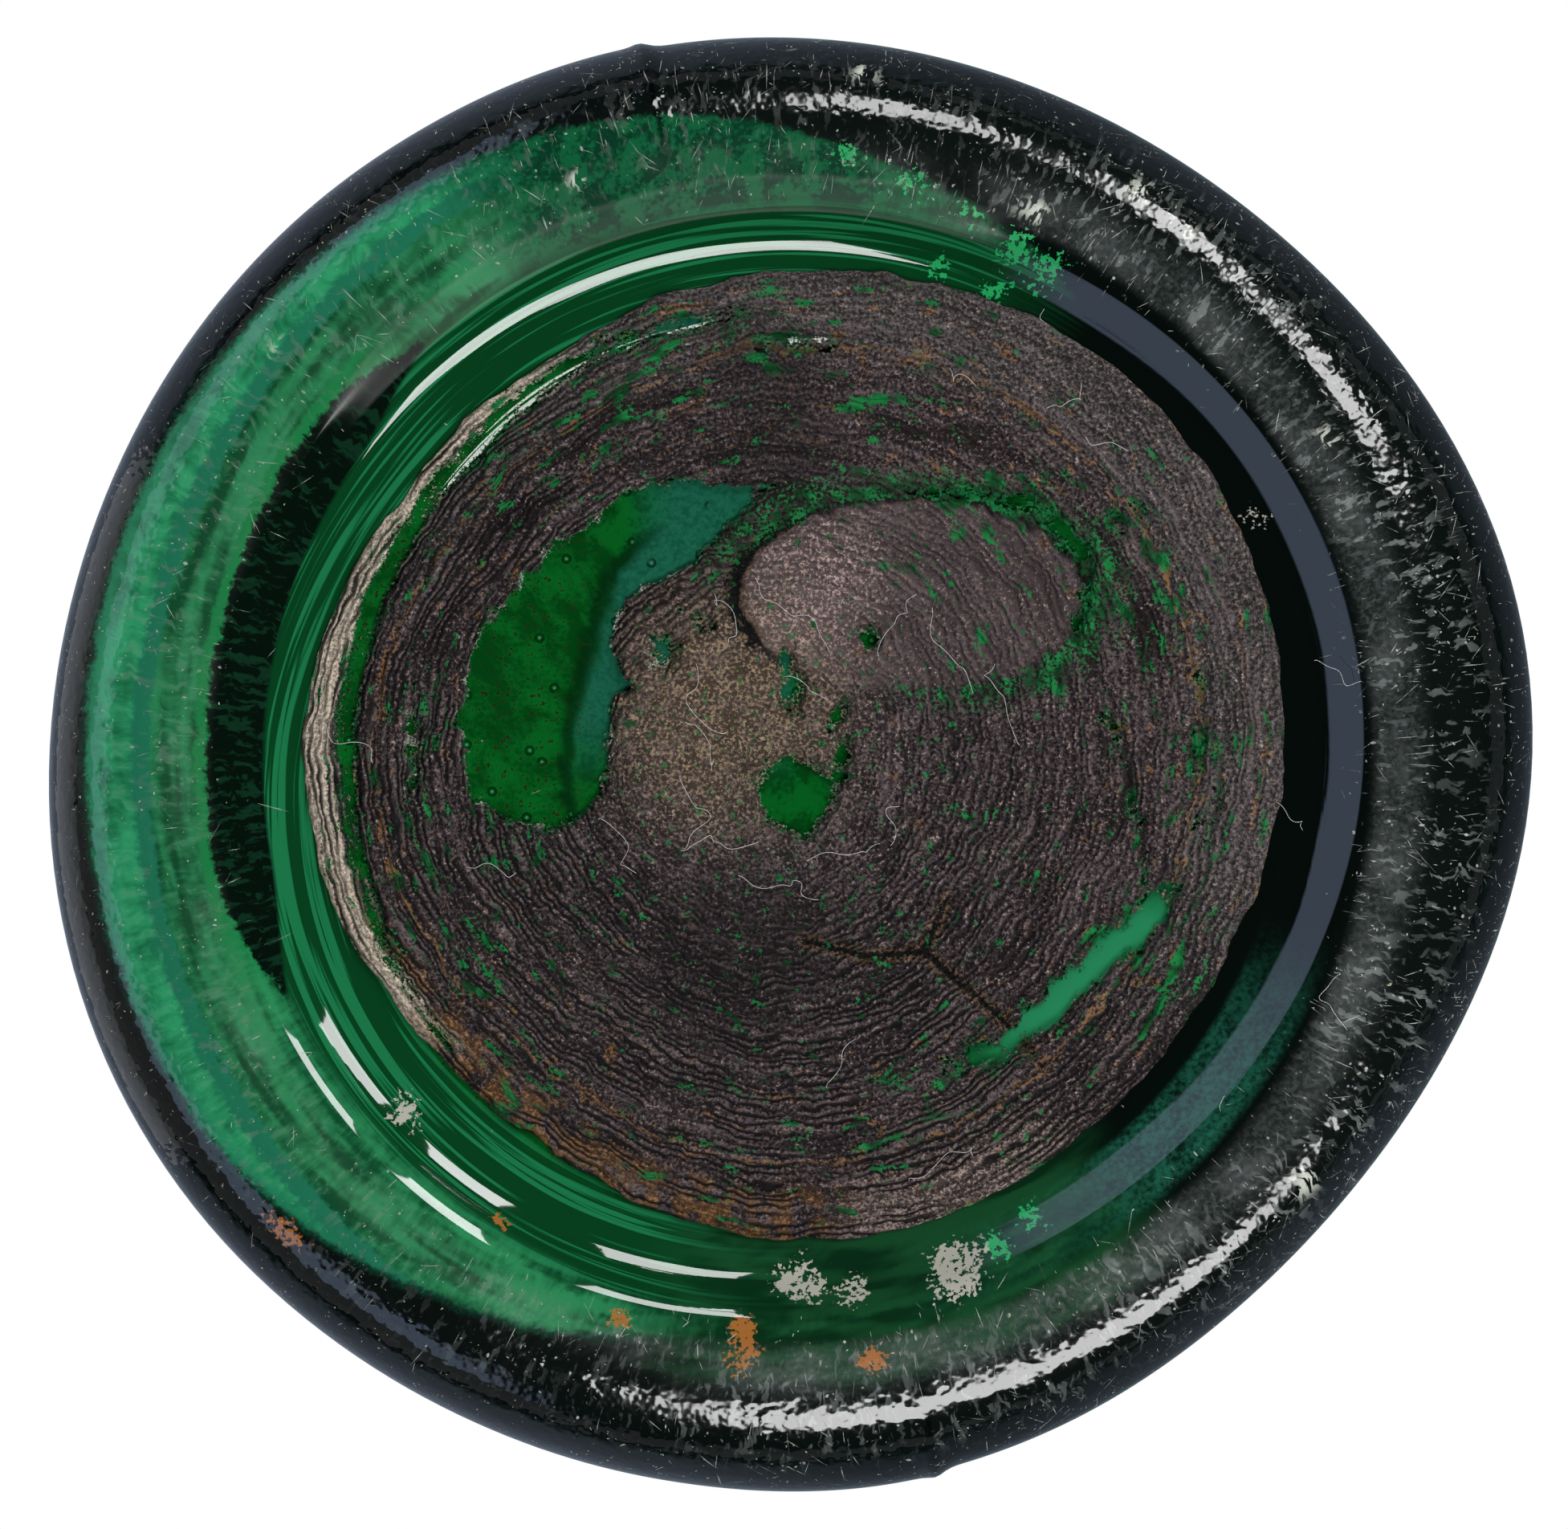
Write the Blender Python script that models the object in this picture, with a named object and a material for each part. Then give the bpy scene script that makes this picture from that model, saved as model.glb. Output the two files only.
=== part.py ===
"""Mineral water bottle: thick green glass blown in a two-part mould, with an applied collar
round its mouth, and the iron scale that a bare pontil iron left under its base.

The bottle stands upright on the plane z = 0, with its axis on Z.
"""
import math

import bmesh
import bpy
from mathutils import Vector

# Driving dimensions, in metres. The lengths add up from the base to the lip.
BODY_RADIUS = 0.0319
BODY_LENGTH = 0.115
SHOULDER_LENGTH = 0.019
NECK_LENGTH = 0.0338
COLLAR_LENGTH = 0.0182
SHOULDER_ROUND = 0.030
NECK_ROOT_ROUND = 0.025
NECK_ROOT_RADIUS = 0.0146
NECK_TOP_RADIUS = 0.0131

# The collar, a ring of glass that swells out over the neck, and the mouth
COLLAR_RADIUS = 0.0159
COLLAR_SWELL_HEIGHT = 0.0062
COLLAR_SWELL_ROUND = 0.0090
COLLAR_FOOT_RADIUS = 0.0149
COLLAR_FOOT_ROUND = 0.0011
LIP_RADIUS = 0.0148
LIP_ROUND = 0.0026
BORE_RADIUS = 0.0083
BORE_ROUND = 0.0014
BORE_LENGTH = 0.0142

# Glass thickness
WALL = 0.0042
NECK_WALL = 0.0041
BASE_WALL = 0.0065
RING_WALL = 0.0095
INNER_HEEL_ROUND = 0.0110

# The base: a rounded heel, the worn ring that the bottle stands on, and a push-up
# with a steep rim, a sloping shelf and a shallow dome
HEEL_ROUND = 0.0050
BEARING_WIDTH = 0.0016
PUSH_UP_DEPTH = 0.0060
RIM_WIDTH = 0.0032
RIM_RISE = 0.0021
SHELF_WIDTH = 0.0028
SHELF_RISE = 0.0013

# The oval dimple that the end of the pontil iron left in the dome
DIMPLE_DEPTH = 0.0007
DIMPLE_X = 0.0051
DIMPLE_Y = -0.0073
DIMPLE_HALF_LENGTH = 0.0076
DIMPLE_HALF_WIDTH = 0.0042

# The base is out of round: swells of so many sides, so far out, one of them at so many degrees.
# They fade out up the body, and in towards the push-up.
SWELLS = ((1, 0.00042, 184), (2, 0.00042, -18), (3, 0.00030, -6), (4, 0.00026, -10), (5, 0.00010, 2))
SWELL_HEIGHT = 0.110
SWELL_INSIDE = 0.0210

# The iron scale, a thin skin that lines the push-up
SCALE_THICKNESS = 0.0004
SCALE_GAP = 0.0003
SCALE_INSET = 0.0041

# Crescents where the scale has flaked off the glass: each is so far in from the scale's edge,
# round a centre, and runs from one bearing to another
FLAKE = {"x": -0.0010, "y": 0.0, "inset": 0.0106, "width": 0.0052, "start": 164, "end": 272}
RIFT = {"x": 0.0, "y": 0.0, "inset": 0.0018, "width": 0.0009, "start": 141, "end": 222}
STRIP = {"x": 0.0, "y": 0.0, "inset": 0.0048, "width": 0.0013, "start": 19, "end": 52}

# Fineness of the mesh: segments round the axis, degrees of arc a step, and steps along a crescent
SEGMENTS = 52
ARC_STEP = 16
CRESCENT_STEPS = 18

# Places worked out from the values above
neck_root_height = BODY_LENGTH + SHOULDER_LENGTH
collar_height = neck_root_height + NECK_LENGTH
height = collar_height + COLLAR_LENGTH
bearing_outside = BODY_RADIUS - HEEL_ROUND
bearing_inside = bearing_outside - BEARING_WIDTH
shelf_outside = bearing_inside - RIM_WIDTH
dome_radius = shelf_outside - SHELF_WIDTH
dome_rise = PUSH_UP_DEPTH - RIM_RISE - SHELF_RISE
scale_radius = bearing_inside - SCALE_INSET
ON_SURFACE = 1e-6


def smooth_step(t):
    """Rise from 0 to 1 with level ends."""
    t = min(max(t, 0.0), 1.0)
    return t * t * (3 - 2 * t)


def push_up(radius):
    """Height of the underside inside the standing ring, at a distance from the axis."""
    shelf_start = shelf_outside + RIM_WIDTH / 2
    rim = RIM_RISE * smooth_step((bearing_inside - radius) / RIM_WIDTH)
    shelf = SHELF_RISE * min(max((shelf_start - radius) / (shelf_start - dome_radius), 0.0), 1.0)
    dome = dome_rise * (1 - min(radius / dome_radius, 1.0) ** 2)
    return rim + shelf + dome


def dimple(x, y):
    """How much higher the underside is where the pontil iron pressed into it."""
    along = (x - DIMPLE_X) / DIMPLE_HALF_LENGTH
    across = (y - DIMPLE_Y) / DIMPLE_HALF_WIDTH
    return DIMPLE_DEPTH * (1 - smooth_step(math.hypot(along, across)))


def swell(angle):
    """How far the heel stands out from a true circle, at an angle round the axis."""
    return sum(size * math.cos(sides * (angle - math.radians(turn))) for sides, size, turn in SWELLS)


def rounded(before, corner, after, radius):
    """Points of the arc that rounds a corner of a profile. A wide arc stays inside its two runs."""
    back = (before - corner).normalized()
    ahead = (after - corner).normalized()
    half = back.angle(ahead) / 2
    run = min((before - corner).length, (after - corner).length)
    reach = min(radius / math.tan(half), 0.49 * run)
    radius = reach * math.tan(half)
    middle = corner + (back + ahead).normalized() * (radius / math.sin(half))
    first = (corner + back * reach - middle).normalized()
    last = (corner + ahead * reach - middle).normalized()
    steps = max(2, round(math.degrees(math.pi - 2 * half) / ARC_STEP))
    return [middle + first.slerp(last, step / steps) * radius for step in range(steps + 1)]


def inside_corner(before, corner, after, wall_before, wall_after):
    """Where the inner faces of two runs of wall meet, for an outline that climbs the outside."""
    first = (corner - before).normalized()
    second = (after - corner).normalized()
    start = corner + Vector((-first.y, first.x)) * wall_before
    end = corner + Vector((-second.y, second.x)) * wall_after
    return start + first * ((end - start).cross(second) / first.cross(second))


def steps_between(start, end, count):
    """Evenly spaced values from start up to, and without, end."""
    return [start + (end - start) * step / count for step in range(count)]


def underside_radii(edge):
    """Distances from the axis at which the push-up is drawn, from the centre out to an edge."""
    radii = steps_between(0.0, dome_radius, 7) + steps_between(dome_radius, shelf_outside, 2)
    radii += steps_between(shelf_outside, bearing_inside, 4)
    return [radius for radius in radii if radius < edge - ON_SURFACE] + [edge]


def glass_profile():
    """Half section of the bottle: out along the underside, up the outside, over the lip, down inside."""
    base = Vector((BODY_RADIUS, 0.0))
    shoulder = Vector((BODY_RADIUS, BODY_LENGTH))
    neck_root = Vector((NECK_ROOT_RADIUS, neck_root_height))
    neck_top = Vector((NECK_TOP_RADIUS, collar_height))
    collar_foot = Vector((COLLAR_FOOT_RADIUS, collar_height))
    collar_swell = Vector((COLLAR_RADIUS, collar_height + COLLAR_SWELL_HEIGHT))
    lip = Vector((LIP_RADIUS, height))
    mouth = Vector((BORE_RADIUS, height))
    bore_foot = Vector((BORE_RADIUS, height - BORE_LENGTH))
    inner_neck_top = Vector((NECK_TOP_RADIUS - NECK_WALL, collar_height))
    inner_neck_root = inside_corner(shoulder, neck_root, neck_top, WALL, NECK_WALL)
    inner_shoulder = inside_corner(base, shoulder, neck_root, WALL, WALL)
    inner_heel = Vector((BODY_RADIUS - WALL, RING_WALL))
    floor_edge = Vector((BODY_RADIUS - WALL - INNER_HEEL_ROUND, RING_WALL))

    points = [Vector((radius, push_up(radius))) for radius in underside_radii(bearing_inside)]
    points += rounded(Vector((0.0, 0.0)), base, shoulder, HEEL_ROUND)
    points += [Vector((BODY_RADIUS, z)) for z in (BODY_LENGTH * 0.25, BODY_LENGTH * 0.55)]
    points += rounded(base, shoulder, neck_root, SHOULDER_ROUND)
    points += rounded(shoulder, neck_root, neck_top, NECK_ROOT_ROUND)
    points += [neck_top]
    points += rounded(neck_top, collar_foot, collar_swell, COLLAR_FOOT_ROUND)
    points += rounded(collar_foot, collar_swell, lip, COLLAR_SWELL_ROUND)
    points += rounded(collar_swell, lip, mouth, LIP_ROUND)
    points += rounded(lip, mouth, bore_foot, BORE_ROUND)
    points += [bore_foot, inner_neck_top]
    points += rounded(inner_neck_top, inner_neck_root, inner_shoulder, NECK_ROOT_ROUND + WALL)
    points += rounded(inner_neck_root, inner_shoulder, inner_heel, SHOULDER_ROUND - WALL)
    points += [Vector((BODY_RADIUS - WALL, z)) for z in (BODY_LENGTH * 0.55, BODY_LENGTH * 0.3)]
    points += rounded(inner_shoulder, inner_heel, Vector((0.0, RING_WALL)), INNER_HEEL_ROUND)
    rise = PUSH_UP_DEPTH + BASE_WALL - RING_WALL
    for share in steps_between(0.8, 0.0, 4) + [0.0]:
        points.append(Vector((floor_edge.x * share, RING_WALL + rise * (1 - smooth_step(share)))))
    return points


def scale_profile():
    """Half section of the scale: out along its lower face, back along the upper one."""
    lower = [Vector((radius, push_up(radius) - SCALE_GAP - SCALE_THICKNESS)) for radius in underside_radii(scale_radius)]
    upper = [Vector((radius, push_up(radius) - SCALE_GAP)) for radius in reversed(underside_radii(scale_radius))]
    return lower + upper


def turn(name, profile):
    """Turn a half section round the axis into a closed mesh object."""
    bm = bmesh.new()
    vertices = [bm.verts.new((point.x, 0.0, point.y)) for point in profile]
    edges = [bm.edges.new(pair) for pair in zip(vertices, vertices[1:])]
    bmesh.ops.spin(bm, geom=vertices + edges, cent=(0, 0, 0), axis=(0, 0, 1), angle=math.tau, steps=SEGMENTS)
    bmesh.ops.remove_doubles(bm, verts=bm.verts, dist=ON_SURFACE)
    bmesh.ops.recalc_face_normals(bm, faces=bm.faces)
    mesh = bpy.data.meshes.new(name)
    bm.to_mesh(mesh)
    bm.free()
    piece = bpy.data.objects.new(name, mesh)
    bpy.context.collection.objects.link(piece)
    return piece


def press(piece, depth_below_underside):
    """Put the swells and the pontil dimple into a turned mesh."""
    for vertex in piece.data.vertices:
        x, y, z = vertex.co
        radius = math.hypot(x, y)
        if abs(z - push_up(radius)) <= depth_below_underside + ON_SURFACE:
            vertex.co.z += dimple(x, y)
        inward = smooth_step((radius - SWELL_INSIDE) / (bearing_outside - SWELL_INSIDE))
        reach = swell(math.atan2(y, x)) * inward * (1 - smooth_step(z / SWELL_HEIGHT))
        vertex.co.x += reach * x / max(radius, ON_SURFACE)
        vertex.co.y += reach * y / max(radius, ON_SURFACE)


def cut_crescent(piece, name, x, y, inset, width, start, end):
    """Cut a crescent, as wide as width at its middle, right through the scale."""
    radius = scale_radius - inset
    outer, inner = [], []
    for step in range(CRESCENT_STEPS + 1):
        share = step / CRESCENT_STEPS
        angle = math.radians(start + (end - start) * share)
        half = 0.5 * width * max(math.sin(math.pi * share), 0.04) ** 0.5
        heading = Vector((math.cos(angle), math.sin(angle), 0.0))
        outer.append(Vector((x, y, -PUSH_UP_DEPTH)) + heading * (radius + half))
        inner.append(Vector((x, y, -PUSH_UP_DEPTH)) + heading * (radius - half))
    bm = bmesh.new()
    outline = bm.faces.new([bm.verts.new(point) for point in outer + inner[::-1]])
    sides = bmesh.ops.extrude_face_region(bm, geom=[outline])["geom"]
    top = [item for item in sides if isinstance(item, bmesh.types.BMVert)]
    bmesh.ops.translate(bm, verts=top, vec=(0, 0, 3 * PUSH_UP_DEPTH))
    bmesh.ops.recalc_face_normals(bm, faces=bm.faces)
    mesh = bpy.data.meshes.new(name)
    bm.to_mesh(mesh)
    bm.free()
    cutter = bpy.data.objects.new(name, mesh)
    bpy.context.collection.objects.link(cutter)
    cutter.hide_render = True
    cutter.display_type = "WIRE"
    cut = piece.modifiers.new(name, "BOOLEAN")
    cut.operation = "DIFFERENCE"
    cut.solver = "EXACT"
    cut.object = cutter


def material(name, colour, roughness, transmission=0.0):
    """Principled material of one colour."""
    made = bpy.data.materials.new(name)
    made.use_nodes = True
    shader = made.node_tree.nodes["Principled BSDF"]
    shader.inputs["Base Color"].default_value = (*colour, 1.0)
    shader.inputs["Roughness"].default_value = roughness
    shader.inputs["Metallic"].default_value = 0.0
    shader.inputs["Transmission Weight"].default_value = transmission
    shader.inputs["IOR"].default_value = 1.52
    return made


def finish(piece, coat):
    """Give a piece its material, shaded smooth between its sharp edges."""
    piece.data.materials.append(coat)
    piece.data.shade_smooth()
    piece.data.set_sharp_from_angle(angle=math.radians(40))


for item in list(bpy.data.objects):
    bpy.data.objects.remove(item, do_unlink=True)

glass = turn("glass_bottle", glass_profile())
press(glass, 0.0)
finish(glass, material("emerald_glass", (0.01, 0.20, 0.055), 0.06, transmission=0.9))

scale = turn("iron_scale", scale_profile())
press(scale, SCALE_GAP + SCALE_THICKNESS)
finish(scale, material("iron_oxide", (0.055, 0.042, 0.038), 0.85))
cut_crescent(scale, "flake_cutter", **FLAKE)
cut_crescent(scale, "rift_cutter", **RIFT)
cut_crescent(scale, "strip_cutter", **STRIP)
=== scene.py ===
# %% [markdown]
# # A green glass mineral water bottle, seen from underneath
# The bottle was blown in a two-part mould, held on a bare iron rod while its collar was put on,
# and then worn for years on shelves and in crates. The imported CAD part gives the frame: both of
# its solids are replaced here by finer pieces that stay where the solids are.

# %% Load the frame
import math

import bpy
import numpy as np
from mathutils import Matrix, Vector, noise


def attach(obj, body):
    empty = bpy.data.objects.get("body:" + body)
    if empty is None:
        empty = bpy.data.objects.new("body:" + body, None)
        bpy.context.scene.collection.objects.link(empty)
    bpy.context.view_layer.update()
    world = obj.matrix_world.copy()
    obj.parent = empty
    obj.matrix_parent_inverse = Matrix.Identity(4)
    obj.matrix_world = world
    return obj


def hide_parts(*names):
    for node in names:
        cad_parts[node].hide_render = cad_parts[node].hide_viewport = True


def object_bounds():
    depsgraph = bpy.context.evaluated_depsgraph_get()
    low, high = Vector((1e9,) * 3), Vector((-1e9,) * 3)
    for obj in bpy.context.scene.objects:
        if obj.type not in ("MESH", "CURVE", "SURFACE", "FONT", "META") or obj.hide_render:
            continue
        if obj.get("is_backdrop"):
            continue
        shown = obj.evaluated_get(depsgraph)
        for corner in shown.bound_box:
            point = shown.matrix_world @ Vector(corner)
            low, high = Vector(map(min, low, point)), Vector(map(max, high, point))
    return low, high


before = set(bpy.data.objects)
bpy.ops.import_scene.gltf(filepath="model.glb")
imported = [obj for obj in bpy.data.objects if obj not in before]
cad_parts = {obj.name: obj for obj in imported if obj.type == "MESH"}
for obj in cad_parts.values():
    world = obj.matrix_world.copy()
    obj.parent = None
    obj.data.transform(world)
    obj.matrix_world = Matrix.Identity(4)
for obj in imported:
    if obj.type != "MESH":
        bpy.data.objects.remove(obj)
cad_box = [list(corner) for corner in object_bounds()]
MM = 0.001
print("nodes:", sorted(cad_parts), "box:", cad_box)

# %% [markdown]
# ## Camera
# The photograph looks straight up at the underside, so the camera hangs below the floor and looks
# along +Z. A long lens from 40 cm keeps the heel round. The picture is 1953 by 1904 pixels, and
# the width that it shows at the heel gives the focal length.

# %% Camera
PICTURE_WIDTH = 1953
PIXELS_PER_MM = 28.46
CAMERA_DISTANCE = 400.0
HEEL_HEIGHT = 5.0
AIM = (-0.32, 0.12)


def put(name, data):
    """A new object in the scene."""
    made = bpy.data.objects.new(name, data)
    bpy.context.scene.collection.objects.link(made)
    return made


lens_data = bpy.data.cameras.new("camera")
camera = put("camera", lens_data)
shown_width = PICTURE_WIDTH / PIXELS_PER_MM
lens_data.lens = lens_data.sensor_width * (CAMERA_DISTANCE + HEEL_HEIGHT) / shown_width
lens_data.clip_start, lens_data.clip_end = 0.01, 50.0
camera.location = (AIM[0] * MM, AIM[1] * MM, -CAMERA_DISTANCE * MM)
camera.rotation_euler = (math.pi, 0.0, 0.0)
bpy.context.scene.camera = camera
bpy.context.scene.view_settings.view_transform = "Standard"
print("lens:", round(lens_data.lens, 1), "mm, shows", round(shown_width, 2), "mm")

# %% [markdown]
# ## Node trees as Python
# Every finish below is a node tree. `Wire` stands for one socket and can be added, multiplied or
# compared like a number. `Bench` is the tree that is being built: its one method `add` makes any
# node from its type, its settings and what goes into its sockets.

# %% Wires and benches
class Wire:
    """A socket that can be used in Python arithmetic; each operation adds a Math node."""

    def __init__(self, bench, socket):
        self.bench, self.socket = bench, socket

    def math(self, operation, *others):
        return self.bench.add("ShaderNodeMath", (self, *others), operation=operation)

    def __neg__(self):
        return self * -1.0

    def __abs__(self):
        return self.math("ABSOLUTE")

    def __lt__(self, other):
        return self.math("LESS_THAN", other)

    def clamp(self):
        return self.math("MINIMUM", 1.0).math("MAXIMUM", 0.0)

    def step(self, low, high):
        """0 below low and 1 above high, with a soft rise between; low may be the larger one."""
        falls = low > high
        values = {"Value": self, "From Min": min(low, high), "From Max": max(low, high),
                  "To Min": float(falls), "To Max": float(not falls)}
        return self.bench.add("ShaderNodeMapRange", values, interpolation_type="SMOOTHSTEP")

    def band(self, low, full, fade, high):
        """1 from full to fade, with a soft rise from low and a soft fall to high."""
        return self.step(low, full) * self.step(high, fade)


def arithmetic(operation, number_first):
    """The method behind a sign such as +, with the wire before or after the other value."""
    def method(self, other):
        values = (other, self) if number_first else (self, other)
        return self.bench.add("ShaderNodeMath", values, operation=operation)
    return method


SIGNS = {"add": "ADD", "sub": "SUBTRACT", "mul": "MULTIPLY", "truediv": "DIVIDE", "pow": "POWER"}
for sign, operation in SIGNS.items():
    setattr(Wire, f"__{sign}__", arithmetic(operation, False))
    setattr(Wire, f"__r{sign}__", arithmetic(operation, True))


class Bench:
    """A node tree under construction."""

    def __init__(self, tree):
        self.tree = tree
        tree.nodes.clear()

    def add(self, kind, values=(), out=0, **settings):
        """One node: settings first, then values for its sockets; `out` picks the result."""
        node = self.tree.nodes.new(kind)
        for name, setting in settings.items():
            setattr(node, name, setting)
        for key, value in (values.items() if isinstance(values, dict) else enumerate(values)):
            socket = self.find(node.inputs, key)
            if isinstance(value, Wire):
                self.tree.links.new(value.socket, socket)
            else:
                socket.default_value = (*value, 1.0) if socket.type == "RGBA" else value
        return Wire(self, self.find(node.outputs, out)) if len(node.outputs) else node

    @staticmethod
    def find(sockets, key):
        """A socket by its place, or the enabled one by its name."""
        if isinstance(key, int):
            return sockets[key]
        return next(socket for socket in sockets if socket.name == key and socket.enabled)

    def vector(self, operation, *values):
        if operation == "SCALE":
            values = dict(zip(("Vector", "Scale"), values))
        return self.add("ShaderNodeVectorMath", values, "Vector", operation=operation)

    def parts(self, vector):
        """The X, Y and Z of a vector, as three wires."""
        split = self.add("ShaderNodeSeparateXYZ", (vector,))
        return [Wire(self, socket) for socket in split.socket.node.outputs]

    def join(self, x=0.0, y=0.0, z=0.0):
        return self.add("ShaderNodeCombineXYZ", (x, y, z))

    def noise(self, vector, scale, detail=2.0, roughness=0.6, out=0):
        values = {"Vector": vector, "Scale": scale, "Detail": detail, "Roughness": roughness}
        return self.add("ShaderNodeTexNoise", values, out)

    def mix(self, factor, first, second):
        """Two colours, mixed."""
        values = {"Factor": factor, "A": first, "B": second}
        return self.add("ShaderNodeMix", values, "Result", data_type="RGBA")

    def lay(self, colour, *layers):
        """A colour with others laid over it in turn, each where its factor is 1."""
        for factor, over in layers:
            colour = self.mix(factor, colour, over)
        return colour


print("benches ready, with", len(SIGNS), "signs")

# %% [markdown]
# ## Sizes
# The lengths repeat those of the CAD source, in millimetres here. They run along the half section
# of the bottle: base, body, shoulder, neck and collar.

# %% Sizes of the bottle
BODY_RADIUS = 31.9
BODY_LENGTH = 115.0
SHOULDER_LENGTH = 19.0
NECK_LENGTH = 33.8
COLLAR_LENGTH = 18.2
SHOULDER_ROUND = 30.0
NECK_ROOT_ROUND = 25.0
NECK_ROOT_RADIUS = 14.6
NECK_TOP_RADIUS = 13.1
COLLAR_RADIUS = 15.9
COLLAR_SWELL_HEIGHT = 6.2
COLLAR_SWELL_ROUND = 9.0
COLLAR_FOOT_RADIUS = 14.9
COLLAR_FOOT_ROUND = 1.1
LIP_RADIUS = 14.8
LIP_ROUND = 2.6
BORE_RADIUS = 8.3
BORE_ROUND = 1.4
BORE_LENGTH = 14.2
WALL = 4.2
NECK_WALL = 4.1
BASE_WALL = 6.5
RING_WALL = 9.5
INNER_HEEL_ROUND = 11.0
HEEL_ROUND = 5.0
BEARING_INSIDE = 25.3
PUSH_UP_DEPTH = 6.0
DOME_RADIUS = 19.3
# How steep the underside is, in degrees, at distances from the axis
RIM_TILTS = ((19.3, 15), (22.2, 15), (22.5, 17), (22.62, 22), (22.68, 27), (22.74, 33),
             (24.3, 37), (24.6, 20), (24.85, 4), (25.3, 0))
# Neither the rim nor the heel is quite round: waves round the axis, with count, size and bearing
RIM_WAVES = ((1, 0.29, -114.9), (2, 0.42, -19.5), (3, 0.21, -9.1))
SWELLS = ((1, 0.42, 184), (2, 0.42, -18), (3, 0.3, -6), (4, 0.26, -10), (5, 0.1, 2))
SWELL_HEIGHT = 110.0
SWELL_INSIDE = 28.0
DIMPLE = {"depth": 0.7, "x": 5.1, "y": -7.3, "half_length": 7.6, "half_width": 4.2}

neck_root_height = BODY_LENGTH + SHOULDER_LENGTH
collar_height = neck_root_height + NECK_LENGTH
height = collar_height + COLLAR_LENGTH
bearing_outside = BODY_RADIUS - HEEL_ROUND
print("height:", height, "mm")

# %% [markdown]
# ## The half section
# A bottle is a turned form, so all of its shape is in one line: out along the underside, up the
# outside, over the lip and down the inside. Real glass has no kinks, because it flowed, and
# every kink would show in its reflections. The line is drawn very finely, smoothed over a
# fifth of a millimetre, and then thinned, with close stations where the photograph looks.

# %% Underside and rounded corners
DRAWN = 0.1  # mm between the points of a rounded corner


def smooth_step(t):
    t = np.clip(t, 0.0, 1.0)
    return t * t * (3 - 2 * t)


rim_radii = np.linspace(DOME_RADIUS, BEARING_INSIDE, 400)
rim_slopes = np.tan(np.radians(np.interp(rim_radii, *np.array(RIM_TILTS, float).T)))
rim_heights = np.cumsum(rim_slopes[::-1])[::-1] * (rim_radii[1] - rim_radii[0])


def push_up(radius):
    """Height of the underside, at a distance from the axis."""
    dome = (PUSH_UP_DEPTH - rim_heights[0]) * (1 - np.minimum(radius / DOME_RADIUS, 1.0) ** 2)
    return np.interp(radius, rim_radii, rim_heights, right=0.0) + dome


def unit(vector):
    return vector / np.linalg.norm(vector)


def rounded(before, corner, after, radius):
    """Points of the arc that rounds a corner."""
    before, corner, after = (np.array(point, float) for point in (before, corner, after))
    back, ahead = unit(before - corner), unit(after - corner)
    half = math.acos(float(back @ ahead)) / 2
    run = min(np.linalg.norm(before - corner), np.linalg.norm(after - corner))
    reach = min(radius / math.tan(half), 0.49 * run)
    radius = reach * math.tan(half)
    middle = corner + unit(back + ahead) * (radius / math.sin(half))
    first, last = corner + back * reach - middle, corner + ahead * reach - middle
    turn = math.pi - 2 * half
    shares = np.linspace(0.0, 1.0, max(3, round(radius * turn / DRAWN)))[:, None]
    arc = first * np.sin((1 - shares) * turn) + last * np.sin(shares * turn)
    return middle + arc / math.sin(turn)


def inside_corner(before, corner, after, wall_before, wall_after):
    """Where the inner faces of two runs of wall meet."""
    before, corner, after = (np.array(point, float) for point in (before, corner, after))
    first, second = unit(corner - before), unit(after - corner)
    start = corner + np.array((-first[1], first[0])) * wall_before
    end = corner + np.array((-second[1], second[0])) * wall_after
    gap = end - start
    cross = first[0] * second[1] - first[1] * second[0]
    return start + first * ((gap[0] * second[1] - gap[1] * second[0]) / cross)


print("underside at 0, 20, 23, 26 mm:", [round(float(push_up(r)), 2) for r in (0, 20, 23, 26)])

# %% The half section, zone by zone
base, shoulder = (BODY_RADIUS, 0.0), (BODY_RADIUS, BODY_LENGTH)
neck_root, neck_top = (NECK_ROOT_RADIUS, neck_root_height), (NECK_TOP_RADIUS, collar_height)
collar_foot = (COLLAR_FOOT_RADIUS, collar_height)
collar_swell = (COLLAR_RADIUS, collar_height + COLLAR_SWELL_HEIGHT)
lip, mouth = (LIP_RADIUS, height), (BORE_RADIUS, height)
bore_foot = (BORE_RADIUS, height - BORE_LENGTH)
inner_neck_top = (NECK_TOP_RADIUS - NECK_WALL, collar_height)
inner_neck_root = inside_corner(shoulder, neck_root, neck_top, WALL, NECK_WALL)
inner_shoulder = inside_corner(base, shoulder, neck_root, WALL, WALL)
inner_heel = (BODY_RADIUS - WALL, RING_WALL)
floor_edge = BODY_RADIUS - WALL - INNER_HEEL_ROUND
upper_body = BODY_LENGTH * 0.8

radii = np.arange(0.0, bearing_outside, DRAWN)
underside = np.stack([radii, push_up(radii)], 1)
under_scale = radii < 16.0
floor_radii = np.arange(floor_edge, -0.01, -DRAWN)
floor_rise = PUSH_UP_DEPTH + BASE_WALL - RING_WALL
floor_line = RING_WALL + floor_rise * (1 - smooth_step(floor_radii / floor_edge))
neck_inside = NECK_ROOT_ROUND + WALL
shoulder_inside = SHOULDER_ROUND - WALL

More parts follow.
